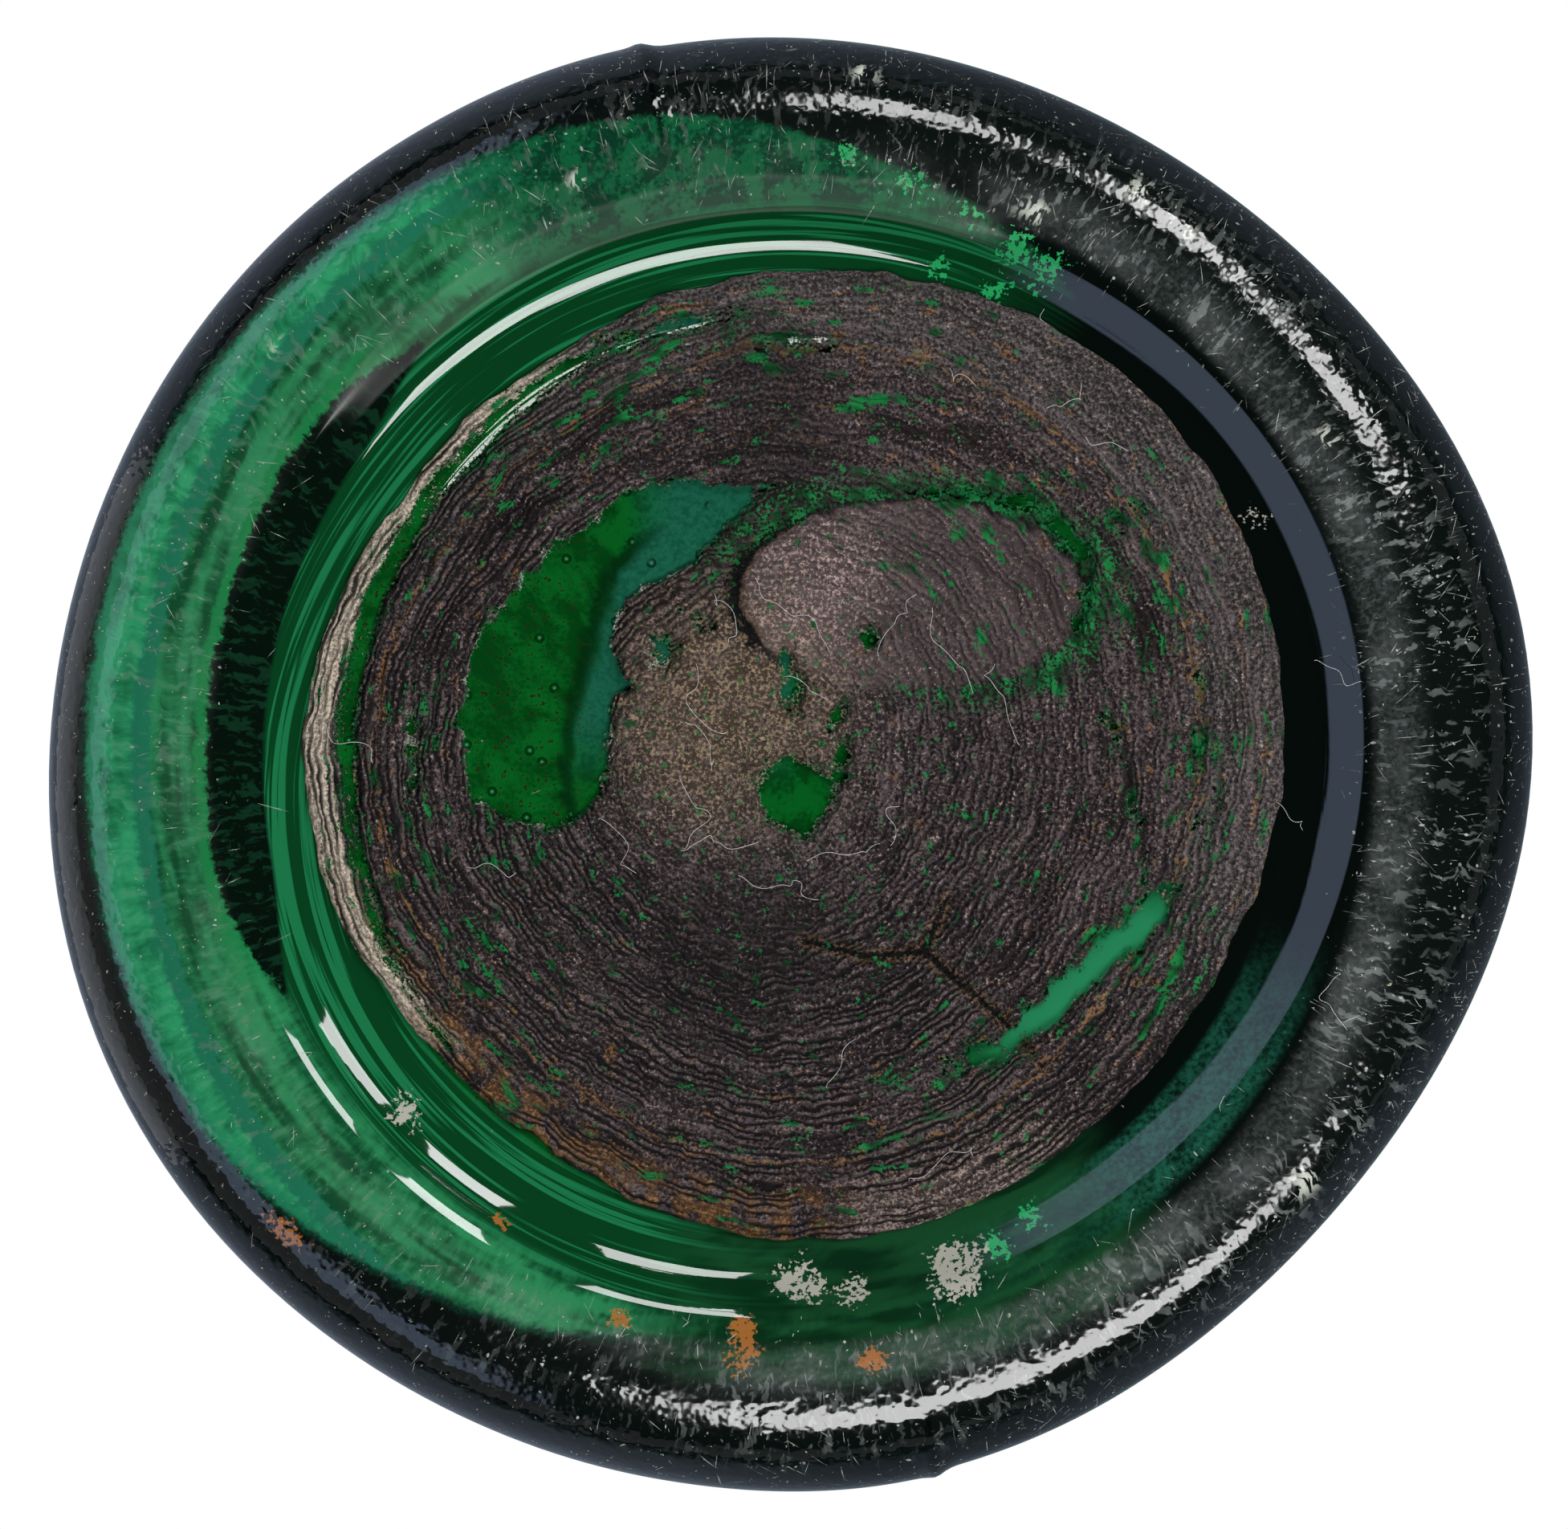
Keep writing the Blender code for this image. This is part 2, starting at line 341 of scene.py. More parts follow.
# Each zone has its points, the spacing of its stations, and 1 where it faces the inside
zones = [
    (underside[under_scale], 0.6, 0),
    (underside[~under_scale], 0.2, 0),
    (rounded((0.0, 0.0), base, shoulder, HEEL_ROUND), 0.25, 0),
    ([(BODY_RADIUS, HEEL_ROUND + 2.0), (BODY_RADIUS, 12.0)], 0.9, 0),
    ([(BODY_RADIUS, 14.0), (BODY_RADIUS, upper_body)], 4.4, 0),
    (rounded(base, shoulder, neck_root, SHOULDER_ROUND), 1.5, 0),
    (rounded(shoulder, neck_root, neck_top, NECK_ROOT_ROUND), 1.9, 0),
    (rounded(neck_top, collar_foot, collar_swell, COLLAR_FOOT_ROUND), 0.3, 0),
    (rounded(collar_foot, collar_swell, lip, COLLAR_SWELL_ROUND), 0.6, 0),
    (rounded(collar_swell, lip, mouth, LIP_ROUND), 0.4, 0),
    (rounded(lip, mouth, bore_foot, BORE_ROUND), 0.4, 1),
    ([bore_foot, inner_neck_top], 1.6, 1),
    (rounded(inner_neck_top, inner_neck_root, inner_shoulder, neck_inside), 2.6, 1),
    (rounded(inner_neck_root, inner_shoulder, inner_heel, shoulder_inside), 2.4, 1),
    ([(BODY_RADIUS - WALL, upper_body), (BODY_RADIUS - WALL, 24.0)], 5.0, 1),
    (rounded(inner_shoulder, inner_heel, (0.0, RING_WALL), INNER_HEEL_ROUND), 0.6, 1),
    (np.stack([floor_radii, floor_line], 1), 0.9, 1),
]
points = np.concatenate([np.asarray(zone[0], float) for zone in zones])
spacing, inside = (
    np.concatenate([np.full(len(zone[0]), zone[row], float) for zone in zones]) for row in (1, 2))
print("zones:", len(zones), "points:", len(points))

# %% The line, smoothed and thinned
FINE = 0.05
BLUR = 0.2
BLUR_REACH = 12  # fine steps on either side
STATIONS = 330

way = np.concatenate([[0.0], np.cumsum(np.linalg.norm(np.diff(points, axis=0), axis=1))])
keep = np.concatenate([[True], np.diff(way) > 1e-6])
points, spacing, inside, way = points[keep], spacing[keep], inside[keep], way[keep]
fine_way = np.arange(0.0, way[-1], FINE)
fine = np.stack([np.interp(fine_way, way, points[:, axis]) for axis in (0, 1)], 1)
kernel = np.exp(-0.5 * (np.arange(-BLUR_REACH, BLUR_REACH + 1) * FINE / BLUR) ** 2)
kernel /= kernel.sum()
# Both ends are on the axis, so the line goes on there as its own mirror image
start, end = fine[BLUR_REACH:0:-1] * (-1, 1), fine[-2:-BLUR_REACH - 2:-1] * (-1, 1)
mirrored = np.concatenate([start, fine, end])
fine = np.stack([np.convolve(mirrored[:, axis], kernel, "valid") for axis in (0, 1)], 1)
fine_spacing = np.interp(fine_way, way, spacing)
measure = np.concatenate([[0.0], np.cumsum(FINE / fine_spacing[:-1])])
station_way = np.interp(np.linspace(0.0, measure[-1], STATIONS), measure, fine_way)
half_section = np.stack([np.interp(station_way, fine_way, fine[:, axis]) for axis in (0, 1)], 1)
half_section[[0, -1], 0] = 0.0
station_inside = (np.interp(station_way, way, inside) > 0.5).astype(float)
print("stations:", len(half_section), "length of the line:", round(float(fine_way[-1]), 1), "mm")

# %% [markdown]
# ## Turning the half section
# The half section is a line of vertices, and a Geometry Nodes tree turns it: a grid with a row for
# each station is bent round the axis, each vertex takes its radius and height from the line, and
# the seam and the two poles are merged. The same fields push it out of round, raise the two
# mould seams, and let the walls wander a little, as blown glass does. The steps round the axis
# are closer near the mould seams, because a seam is only half a millimetre wide.

# %% The half section as a mesh
def carry(mesh, values):
    """Give each vertex of a mesh a number under each name, for the node trees to read."""
    for title, numbers in values.items():
        layer = mesh.attributes.new(title, "FLOAT", "POINT")
        layer.data.foreach_set("value", np.asarray(numbers, np.float32))


def point_mesh(name, places, edges=()):
    """An object with a vertex at each place, in millimetres."""
    mesh = bpy.data.meshes.new(name)
    mesh.from_pydata((np.asarray(places) * MM).tolist(), edges, [])
    return put(name, mesh)


line_places = [(x, 0.0, z) for x, z in half_section]
bottle_line = point_mesh("bottle_line", line_places, [(i, i + 1) for i in range(STATIONS - 1)])
carry(bottle_line.data, {"inside": station_inside})
print("line:", len(bottle_line.data.vertices), "vertices")

# %% Helpers for Geometry Nodes and materials
def new_group(name, inputs):
    """A geometry group that takes and gives a mesh, its bench and a wire for each input."""
    group = bpy.data.node_groups.new(name, "GeometryNodeTree")
    bench = Bench(group)
    group.interface.new_socket("Geometry", in_out="INPUT", socket_type="NodeSocketGeometry")
    for title, value in inputs.items():
        kind = {int: "Int", float: "Float"}.get(type(value), "Material")
        socket = group.interface.new_socket(
            title, in_out="INPUT", socket_type="NodeSocket" + kind)
        if value is not None:
            socket.default_value = value
    group.interface.new_socket("Geometry", in_out="OUTPUT", socket_type="NodeSocketGeometry")
    start = bench.add("NodeGroupInput").socket.node
    wires = {socket.name: Wire(bench, socket) for socket in start.outputs if socket.name}
    return group, bench, wires


def position(bench):
    return bench.add("GeometryNodeInputPosition")


def carried(bench, title, kind="FLOAT"):
    """What the vertices or points carry under a name."""
    return bench.add(
        "GeometryNodeInputNamedAttribute", {"Name": title}, "Attribute", data_type=kind)


def store(bench, geometry, title, value, kind="FLOAT"):
    values = {"Geometry": geometry, "Name": title, "Value": value}
    return bench.add("GeometryNodeStoreNamedAttribute", values, data_type=kind, domain="POINT")


def move(bench, geometry, **values):
    """Set Position, with Position or Offset."""
    return bench.add("GeometryNodeSetPosition", {"Geometry": geometry, **values})


def end_group(bench, geometry, coat):
    """Each group ends in plain mesh that wears a material."""
    geometry = bench.add("GeometryNodeRealizeInstances", {"Geometry": geometry})
    geometry = bench.add("GeometryNodeSetMaterial", {"Geometry": geometry, "Material": coat})
    bench.add("NodeGroupOutput", (geometry,))


def run_group(source, group, name, values):
    """The plain mesh object that a geometry group makes from a source object."""
    modifier = source.modifiers.new(group.name, "NODES")
    modifier.node_group = group
    for item in group.interface.items_tree:
        if item.in_out == "INPUT" and item.name in values:
            modifier[item.identifier] = values[item.name]
    graph = bpy.context.evaluated_depsgraph_get()
    evaluated = source.evaluated_get(graph)
    mesh = bpy.data.meshes.new_from_object(
        evaluated, preserve_all_data_layers=True, depsgraph=graph)
    mesh.name = name
    source.modifiers.remove(modifier)
    bpy.data.objects.remove(source, do_unlink=True)
    return put(name, mesh)


def new_material(name):
    made = bpy.data.materials.new(name)
    made.use_nodes = True
    return made, Bench(made.node_tree)


def principled(bench, colour, roughness, **values):
    """The all-round shader; Specular_IOR_Level stands for the socket Specular IOR Level."""
    values = {title.replace("_", " "): value for title, value in values.items()}
    values = {"Base Color": colour, "Roughness": roughness, **values}
    return bench.add("ShaderNodeBsdfPrincipled", values)


def wear(bench, surface, **values):
    """Make a shader the surface of the bench's material."""
    bench.add("ShaderNodeOutputMaterial", {"Surface": surface, **values})


def waves(table, angle, cosine, scale=1.0):
    """The sum of some waves round the axis, for wires or for arrays."""
    return sum(cosine((angle - math.radians(turn)) * float(count)) * (size * scale)
               for count, size, turn in table)


glass_coat, glass_bench = new_material("emerald_glass")
print("groups and materials can be made")

# %% The turning group
SEAM_ANGLE = 78.3
CROWDING = 0.3  # how far the steps crowd toward the seams
MOULD_STEP, CRUDE_COLLAR, UNEVEN_FLOOR = 0.00016, 0.0005, 0.0006
# The seams begin at this distance from the axis, and end at this height on the shoulder
SEAM_START, SEAM_END = (0.0262, 0.03), (0.12, 0.135)
COLLAR_START, DIMPLE_RIM, INNER_FLOOR = (0.165, 0.169), (0.0225, 0.0235), (0.02, 0.03)

turning, bench, given = new_group("turn_on_axis", {
    "Steps": 300, "Out Of Round": 1.0, "Seam Height": 0.00016, "Seam Width": 0.0005,
    "Wander": 0.0003, "Coat": None})
line, steps = given["Geometry"], given["Steps"]
rows = bench.add("GeometryNodeAttributeDomainSize", {"Geometry": line}, "Point Count",
                 component="MESH")
columns = steps + 1.0
size = {"Size X": 1.0, "Size Y": 1.0}
grid = bench.add("GeometryNodeMeshGrid", {**size, "Vertices X": rows, "Vertices Y": columns})
index = bench.add("GeometryNodeInputIndex")
station = (index / columns + 1e-5).math("FLOOR")
even = (index - station * columns) / steps * math.tau
angle = even - CROWDING * ((even - math.radians(SEAM_ANGLE)) * 2.0).math("SINE")


def sample(kind, value):
    """What the line has at the station of this vertex."""
    values = {"Geometry": line, "Value": value, "Index": station}
    return bench.add("GeometryNodeSampleIndex", values, "Value", data_type=kind, domain="POINT")


def cosine(wire):
    return wire.math("COSINE")


radius, _, level = bench.parts(sample("FLOAT_VECTOR", position(bench)))
is_inside = sample("FLOAT", carried(bench, "inside"))
is_outside = 1.0 - is_inside
across, upward = cosine(angle), angle.math("SINE")

# Out of round near the base, as the CAD source has it
low = 1.0 - level.step(0.0, SWELL_HEIGHT * MM)
inward = radius.step(SWELL_INSIDE * MM, BODY_RADIUS * MM)
reach = waves(SWELLS, angle, cosine, MM) * inward * low * given["Out Of Round"]

# Mould seams: a narrow ridge at two opposite angles, and a slight step where the halves met
off_seam = (angle - math.radians(SEAM_ANGLE)).math("SINE") * radius
ridge = (-(off_seam / given["Seam Width"]) ** 2.0).math("EXPONENT")
outer = is_outside * radius.step(*SEAM_START) * (1.0 - level.step(*SEAM_END))
halves = off_seam.step(-0.0004, 0.0004) * (1.0 - abs(off_seam).step(0.0006, 0.012))
reach = reach + ridge * given["Seam Height"] * outer + halves * outer * MOULD_STEP

# The walls wander, the inside more than the outside, and the collar is a little crude
around = bench.join(across, upward, level / 0.032)
drift = bench.noise(around, 1.3, 2.0, 0.5) - 0.5
reach = reach + drift * given["Wander"] * radius.step(0.008, 0.02) * (0.35 + is_inside * 1.3)
rise, fall = radius.step(0.0195, 0.022), radius.step(0.029, 0.026)
underneath = is_outside * (1.0 - level.step(0.004, 0.008))
reach = reach + waves(RIM_WAVES, angle, cosine, MM) * rise * fall * underneath
collar_noise = bench.noise(around, 4.0, 2.0, 0.5) - 0.5
crude = collar_noise * CRUDE_COLLAR * level.step(*COLLAR_START) * is_outside
reach = reach + crude

new_radius = radius + reach * radius.step(0.0, 0.006)
x, y = new_radius * across, new_radius * upward
along_dimple = (x - DIMPLE["x"] * MM) / (DIMPLE["half_length"] * MM)
across_dimple = (y - DIMPLE["y"] * MM) / (DIMPLE["half_width"] * MM)
from_dimple = (along_dimple ** 2.0 + across_dimple ** 2.0) ** 0.5
under = is_outside * (1.0 - radius.step(*DIMPLE_RIM)) * (1.0 - level.step(*INNER_FLOOR))
uneven = (bench.noise(around, 2.2, 1.0, 0.5) - 0.5) * UNEVEN_FLOOR * is_inside * low
new_level = level + from_dimple.step(1.0, 0.0) * (DIMPLE["depth"] * MM) * under
new_level = new_level + crude * 0.8 + uneven
turned = move(bench, grid, Position=bench.join(x, y, new_level))

# The slow patterns of the glass are worked out once, here, and carried by its vertices
in_mm = bench.join(x * 1000.0, y * 1000.0, new_level * 1000.0)
for title, field in {
    "inside": is_inside,
    "patchy": bench.noise(in_mm, 0.35, 3.0).step(0.35, 0.65),
    "coarse": bench.noise(in_mm, 0.8, 3.0),
    "streak": bench.noise(bench.join(new_radius * 1500.0, across * 5.0, upward * 5.0), 1.0, 3.0),
    "cords": bench.noise(bench.join(new_radius * 2200.0, across * 1.2, upward * 1.2), 1.0, 1.0),
}.items():
    turned = store(bench, turned, title, field)
merged = bench.add("GeometryNodeMergeByDistance", {"Geometry": turned, "Distance": 1e-6})
turned = bench.add("GeometryNodeFlipFaces", (merged,))
turned = bench.add("GeometryNodeSetShadeSmooth", {"Geometry": turned, "Shade Smooth": True})
end_group(bench, turned, given["Coat"])
bottle = run_group(bottle_line, turning, "bottle_glass", {"Steps": 300, "Coat": glass_coat})


def triangles(mesh):
    return sum(len(face.vertices) - 2 for face in mesh.polygons)


print("bottle_glass:", len(bottle.data.vertices), "vertices,", triangles(bottle.data), "triangles")

# %% [markdown]
# ## The studio
# The white of the picture is the world behind the bottle. What the glass mirrors, what it
# lets through and what lights its dust are three different surroundings in the photograph, so
# the world tells the kinds of ray apart. Mirrored rays meet a dark room with a bluish card on
# the left. Rays that went through the glass meet a bright left side, a dark right one, and a pale
# floor that shows through the walls when the bottle is seen from the side.

# %% World
COLD_WHITE, WARM_WHITE, FLOOR_WHITE = (0.95, 1.0, 1.0), (1.0, 1.0, 0.95), (0.95, 1.0, 0.95)
WHITE = (1.0, 1.0, 1.0)
CARD_BLUE, ROOM_BLUE = (0.78, 0.98, 1.38), (0.34, 0.4, 0.52)

world = bpy.data.worlds.new("studio")
bpy.context.scene.world = world
world.use_nodes = True
world.cycles.sampling_method = "NONE"
bench = Bench(world.node_tree)
dx, dy, dz = bench.parts(bench.add("ShaderNodeTexCoord", out="Generated"))
is_camera, is_mirrored, is_through = (
    bench.add("ShaderNodeLightPath", out=f"Is {kind} Ray")
    for kind in ("Camera", "Glossy", "Transmission"))


def surroundings(dark, *parts):
    """Light that comes in: a colour everywhere, and some more, each where its factor is 1."""
    for where, strength, colour in parts:
        strong = tuple(part * strength for part in colour)
        dark = bench.vector("ADD", dark, bench.vector("SCALE", strong, where))
    return dark


sideways = (dx * dx + dy * dy + 1e-6) ** 0.5
left_side = (-dx / sideways).step(-0.45, 0.1)
raised = dz.band(0.45, 0.6, 0.8, 0.94)
horizon = dz.band(-0.6, -0.3, 0.1, 0.3)
card = (-dx).step(0.3, 0.45) * dz.band(-0.56, -0.48, -0.27, -0.2)
above = dz.step(0.02, 0.25) * (1.0 - 0.6 * dx.step(-0.3, 0.3))
through = surroundings(
    (0.03, 0.03, 0.03), (left_side * raised, 0.35, WARM_WHITE),
    (left_side * horizon, 0.15, COLD_WHITE), (dz.step(-0.12, -0.45), 0.3, FLOOR_WHITE))
mirrored = surroundings(
    (0.01, 0.012, 0.014), (card, 1.1, CARD_BLUE), (above, 0.75, ROOM_BLUE))
spread = surroundings((0.05, 0.05, 0.055), (dz.step(-0.05, 0.2), 1.17, WHITE))
light = bench.lay(spread, (is_mirrored, mirrored), (is_through, through), (is_camera, WHITE))
backdrop = bench.add("ShaderNodeBackground", {"Color": light, "Strength": 1.0})
bench.add("ShaderNodeOutputWorld", {"Surface": backdrop})
print("world nodes:", len(world.node_tree.nodes))

# %% [markdown]
# ## Softboxes and floor
# A window of three panes and a long softbox stand under the base, on the right. Each shows twice in
# the wet-looking glass: once on the heel, on its own side, and once across the base, where the
# push-up leans the other way. A pale screen beside the bottle greys its left edge, and three
# large lamps further off light the walls. The floor is plain and pale. The camera looks through
# it from below, and it is open under the base, but it keeps the lamps below off the walls.

# %% Lamps
# Bearing, angle from straight below, length and width in metres, radiance; then distance and
# how far above the floor it aims, where these aren't the usual ones
SOFTBOXES = {
    "near_pane_1": (-80.0, 50.0, 0.078, 0.11, 12.0),
    "near_pane_2": (-53.5, 51.0, 0.052, 0.14, 15.0),
    "near_pane_3": (-34.5, 52.0, 0.058, 0.11, 13.0),
    "softbox_far": (70.0, 39.0, 0.24, 0.12, 13.0),
    "side_screen": (176.0, 90.0, 0.34, 0.24, 0.5, 0.3, 0.125),
    "studio_left": (205.0, 118.0, 1.5, 2.7, 2.4, 1.05, 0.06),
    "studio_right": (-30.0, 112.0, 0.75, 2.7, 3.2, 1.05, 0.06),
    "studio_top": (90.0, 160.0, 2.4, 2.4, 2.6, 1.05, 0.06),
}


def softbox(name, bearing, from_below, length, width, radiance, distance=0.35, aim=0.0):
    """An area lamp that faces the bottle."""
    data = bpy.data.lights.new(name, "AREA")
    data.shape = "RECTANGLE"
    data.size, data.size_y = length, width
    data.energy = radiance * math.pi * length * width
    turn, tilt = math.radians(bearing), math.radians(from_below)
    out = math.sin(tilt)
    ray = Vector((out * math.cos(turn), out * math.sin(turn), -math.cos(tilt)))
    flat = Vector((-math.sin(turn), math.cos(turn), 0.0))
    facing = Matrix((flat, ray.cross(flat), ray)).transposed().to_4x4()
    lamp = put(name, data)
    lamp.matrix_world = Matrix.Translation(ray * distance + Vector((0.0, 0.0, aim))) @ facing
    lamp.visible_camera = lamp.visible_transmission = False
    lamp.visible_glossy = from_below <= 90.0


for name, values in SOFTBOXES.items():
    softbox(name, *values)
print("lamps:", len(bpy.data.lights))

# %% Floor
HOLE, FAR_OFF, SIDES = 0.034, 40.0, 96
FLOOR_LEVEL = -0.00005
SEEN_FLOOR, LIT_FLOOR = (0.9, 0.9, 0.89), (0.07, 0.07, 0.075)

turns = [math.tau * side / SIDES for side in range(SIDES)]
after = [(side + 1) % SIDES for side in range(SIDES)]
floor_mesh = bpy.data.meshes.new("floor")
floor_mesh.from_pydata(
    [(math.cos(turn) * reach, math.sin(turn) * reach, FLOOR_LEVEL)
     for reach in (HOLE, FAR_OFF) for turn in turns], [],
    [(side, side + SIDES, after[side] + SIDES, after[side]) for side in range(SIDES)])
stage_floor = put("floor", floor_mesh)
paper, bench = new_material("pale_paper")
seen = bench.add("ShaderNodeLightPath", out="Is Camera Ray")
from_below = bench.add("ShaderNodeNewGeometry", out="Backfacing")
card_face = principled(bench, bench.mix(seen, LIT_FLOOR, SEEN_FLOOR), 0.9)
clear = bench.add("ShaderNodeBsdfTransparent")
wear(bench, bench.add("ShaderNodeMixShader", (from_below, card_face, clear)))
floor_mesh.materials.append(paper)
for flag in ("visible_diffuse", "visible_transmission", "visible_volume_scatter"):
    setattr(stage_floor, flag, False)
stage_floor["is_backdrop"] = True
print("floor: open inside", HOLE / MM, "mm")

# %% [markdown]
# ## Spots and the glass itself
# The bottle's glass is one closed skin, outside and inside, with a plain absorbing volume in it:
# thick parts turn dark green by themselves. The underside is another matter. It wears a painted
# coat, because the green that glows in its left half is light from above that the thick base
# gathers, and what lies above the base isn't in the picture. The coat has the painted glow inside
# an edge that was measured all round, then dust, lime and rust, painted green glints, a dark lens
# of painted reflection, and the dark glass painted as shade where no light comes through, and it
# still mirrors the lamps. A Mix Shader ends it at the heel. The ring that the bottle stands on is
# ground dull by wear, so it is rougher there.

# %% Where the light comes through, and spots
# Bearing, and how far from the axis the glow ends there
GLOW_EDGE = ((-270, 24.8), (-255, 26.0), (-245, 27.2), (-236, 28.0), (-225, 29.3), (-215, 30.2),
             (-200, 30.7), (-180, 30.95), (-170, 31.0), (-150, 30.8), (-135, 30.3), (-120, 29.8),
             (-110, 29.2), (-100, 28.5), (-92, 27.6), (-85, 26.7), (-78, 26.0), (-70, 25.2),
             (-62, 24.2), (-50, 22.0), (0, 20.0), (90, 24.8))
# Soft discs of each kind: x, y and radius. The first kind marks painted light, where the bare glass
# is lighter, and the fourth painted green glints
SPOTS = {
    "lit_green_discs": ((11.5, 10.0, 6.0), (15.6, 8.8, 5.0)),
    "lime": ((0.4, 22.5, 1.6), (7.2, 21.8, 1.9), (2.6, 22.9, 1.0), (-16.8, 15.2, 1.2),
             (20.2, -10.5, 0.8)),
    "rust": ((-2.0, 24.4, 0.9), (-2.2, 25.6, 1.3), (-22.0, 20.4, 1.0), (-7.5, 24.0, 0.8),
             (3.5, 26.0, 1.0), (-12.5, 20.0, 0.9)),
    "green_glints": ((2.3, -26.2, 1.1), (5.3, -25.0, 1.2), (7.7, -23.8, 1.1), (9.9, -22.3, 1.3),
                (10.9, -21.3, 1.5), (8.8, -20.4, 1.1), (6.4, -21.4, 0.9), (10.5, 19.8, 1.0),
                (8.9, 21.0, 1.0)),
    "chips": ((-22.5, -17.8, 0.45), (-9.3, -25.1, 0.5), (10.5, -23.8, 0.8), (3.1, -29.8, 0.7),
              (15.2, -24.6, 0.8), (17.0, -23.0, 0.6), (22.2, 18.2, 0.9), (23.3, -13.9, 0.6)),
}


def spots(x, y, marks):
    """Soft discs: 1 within a quarter of the radius, 0 at the radius."""
    return sum(smooth_step((size - np.hypot(x - mark_x, y - mark_y)) / (0.75 * size))
               for mark_x, mark_y, size in marks)


corners = np.empty(len(bottle.data.vertices) * 3, np.float32)
bottle.data.vertices.foreach_get("co", corners)
corners = corners.reshape(-1, 3) / MM
bearings = np.degrees(np.arctan2(corners[:, 1], corners[:, 0]))
bearings = np.where(bearings > 90, bearings - 360, bearings)
glow_edge = np.interp(bearings, *np.array(GLOW_EDGE, float).T)
marked = {title: spots(corners[:, 0], corners[:, 1], marks) for title, marks in SPOTS.items()}
carry(bottle.data, {"glow": glow_edge, **marked})
print("glow ends:", float(glow_edge.min()), "to", float(glow_edge.max()), "mm from the axis")
print("vertices in spots:", {title: int((many > 0.5).sum()) for title, many in marked.items()})

# %% Patterns of the glass
def millimetres(bench):
    """The place on the piece, in millimetres."""
    return bench.vector("SCALE", bench.add("ShaderNodeTexCoord", out="Object"), 1000.0)


def read(bench, *names):
    """What the vertices carry, as a wire for each name."""
    return [bench.add("ShaderNodeAttribute", out="Fac", attribute_name=name) for name in names]


bench = glass_bench
place = millimetres(bench)
px, py, pz = bench.parts(place)
radius = (px * px + py * py + 0.01) ** 0.5
across, upward = px / radius, py / radius
inside, patchy, coarse, streak, cords, glow_end = read(
    bench, "inside", "patchy", "coarse", "streak", "cords", "glow")
lit_green_spots, lime_spots, rust_spots, green_glints, chips = read(bench, *SPOTS)


def toward(bearing):
    """1 on the side of the bottle at this bearing, -1 opposite."""
    turn = math.radians(bearing)
    return across * math.cos(turn) + upward * math.sin(turn)


# Grain is even; scuffs are drawn out along the radius; jagged is the radius with a ragged edge
grain = bench.noise(place, 4.2)
wobble = coarse * 0.06
scuffs = bench.noise(
    bench.join(radius * 0.8, (across + wobble) * 75.0, (upward - wobble) * 75.0), 1.0)
fine_grain, fine_scuffs = grain - 0.5, scuffs - 0.5
jagged = radius + fine_grain * 0.5 + fine_scuffs * 0.5 + (coarse - 0.5) * 0.8
ring_zone = radius.band(24.9, 25.8, 28.6, 31.2)
print("patterns:", len(bench.tree.nodes), "nodes")

# %% The painted glow and the painted shade
# Linear colours of painted light through the glass and of painted shade where none comes through;
# where there are two, noise mixes them
DULL_GLOW = (0.003, 0.05, 0.017), (0.019, 0.18, 0.069)
EMERALD_GLOW = (0.007, 0.11, 0.044), (0.025, 0.28, 0.118)
TEAL_GLOW_RIM, TEAL_GLOW_LINE = (0.01, 0.15, 0.08), (0.011, 0.135, 0.072)
OUTER_SHADE, LENS_GLOW = (0.002, 0.022, 0.012), (0.006, 0.15, 0.04)
UNLIT_STREAKS = (0.001, 0.014, 0.006), (0.006, 0.06, 0.022)
TOP_GLOW = (0.0006, 0.03, 0.012), (0.003, 0.085, 0.03)
RIM_GLOW_LINES = (0.0015, 0.036, 0.009), (0.008, 0.13, 0.046)
RIM_SHADE, UNLIT_GLASS_BLACK = (0.001, 0.003, 0.002), (0.0012, 0.0028, 0.0022)
LENS_DARK_REFLECTION = (0.001, 0.004, 0.0022), (0.003, 0.02, 0.009)
MURKY_GLOW = (0.005, 0.05, 0.026), (0.011, 0.085, 0.055)
FOOT_GLOW = (0.002, 0.022, 0.007), (0.007, 0.056, 0.018)

# How far inside its ragged outer edge, and the dark lens between the glow and the rim, a painted
# dark reflection
lit = toward(195.0)
depth_in = glow_end - jagged
lens = toward(192.0).step(0.77, 0.93)
lens_outer, lens_inner = 24.1 + 1.25 * lens, 24.1 - 1.2 * lens
dark_reflection_lens = (jagged - lens_outer).step(0.12, -0.12) * (radius - lens_inner).step(-0.12, 0.12)
dark_reflection_lens = dark_reflection_lens * lens.step(0.0, 0.15)

dull = bench.mix((streak + fine_scuffs * 0.3).step(0.36, 0.62), *DULL_GLOW)
emerald_glow = bench.mix((coarse * 0.5 + streak * 0.5 + fine_scuffs * 0.4).step(0.32, 0.62), *EMERALD_GLOW)
emerald_glow = bench.mix(depth_in.step(1.1, 0.5) * 0.6, emerald_glow, TEAL_GLOW_RIM)
unlit = bench.mix(scuffs.step(0.42, 0.6), *UNLIT_STREAKS)
top_glow_mix = bench.mix((coarse + fine_grain * 0.5).step(0.42, 0.58), *TOP_GLOW)

# Fine lines of painted light along the rim, from its outer edge at the lower left to its inner edge
# at the top, with painted shade on the unlit side
drift = toward(125.0).step(-0.1, 1.1) * 2.0
lines = bench.noise(bench.join((radius - drift) * 3.6, across * 1.5, upward * 1.5), 1.0)
rim_glow = bench.mix(lines.step(0.5, 0.58), *RIM_GLOW_LINES)
rim_glow = bench.mix(lit.step(-0.05, -0.35), rim_glow, RIM_SHADE)
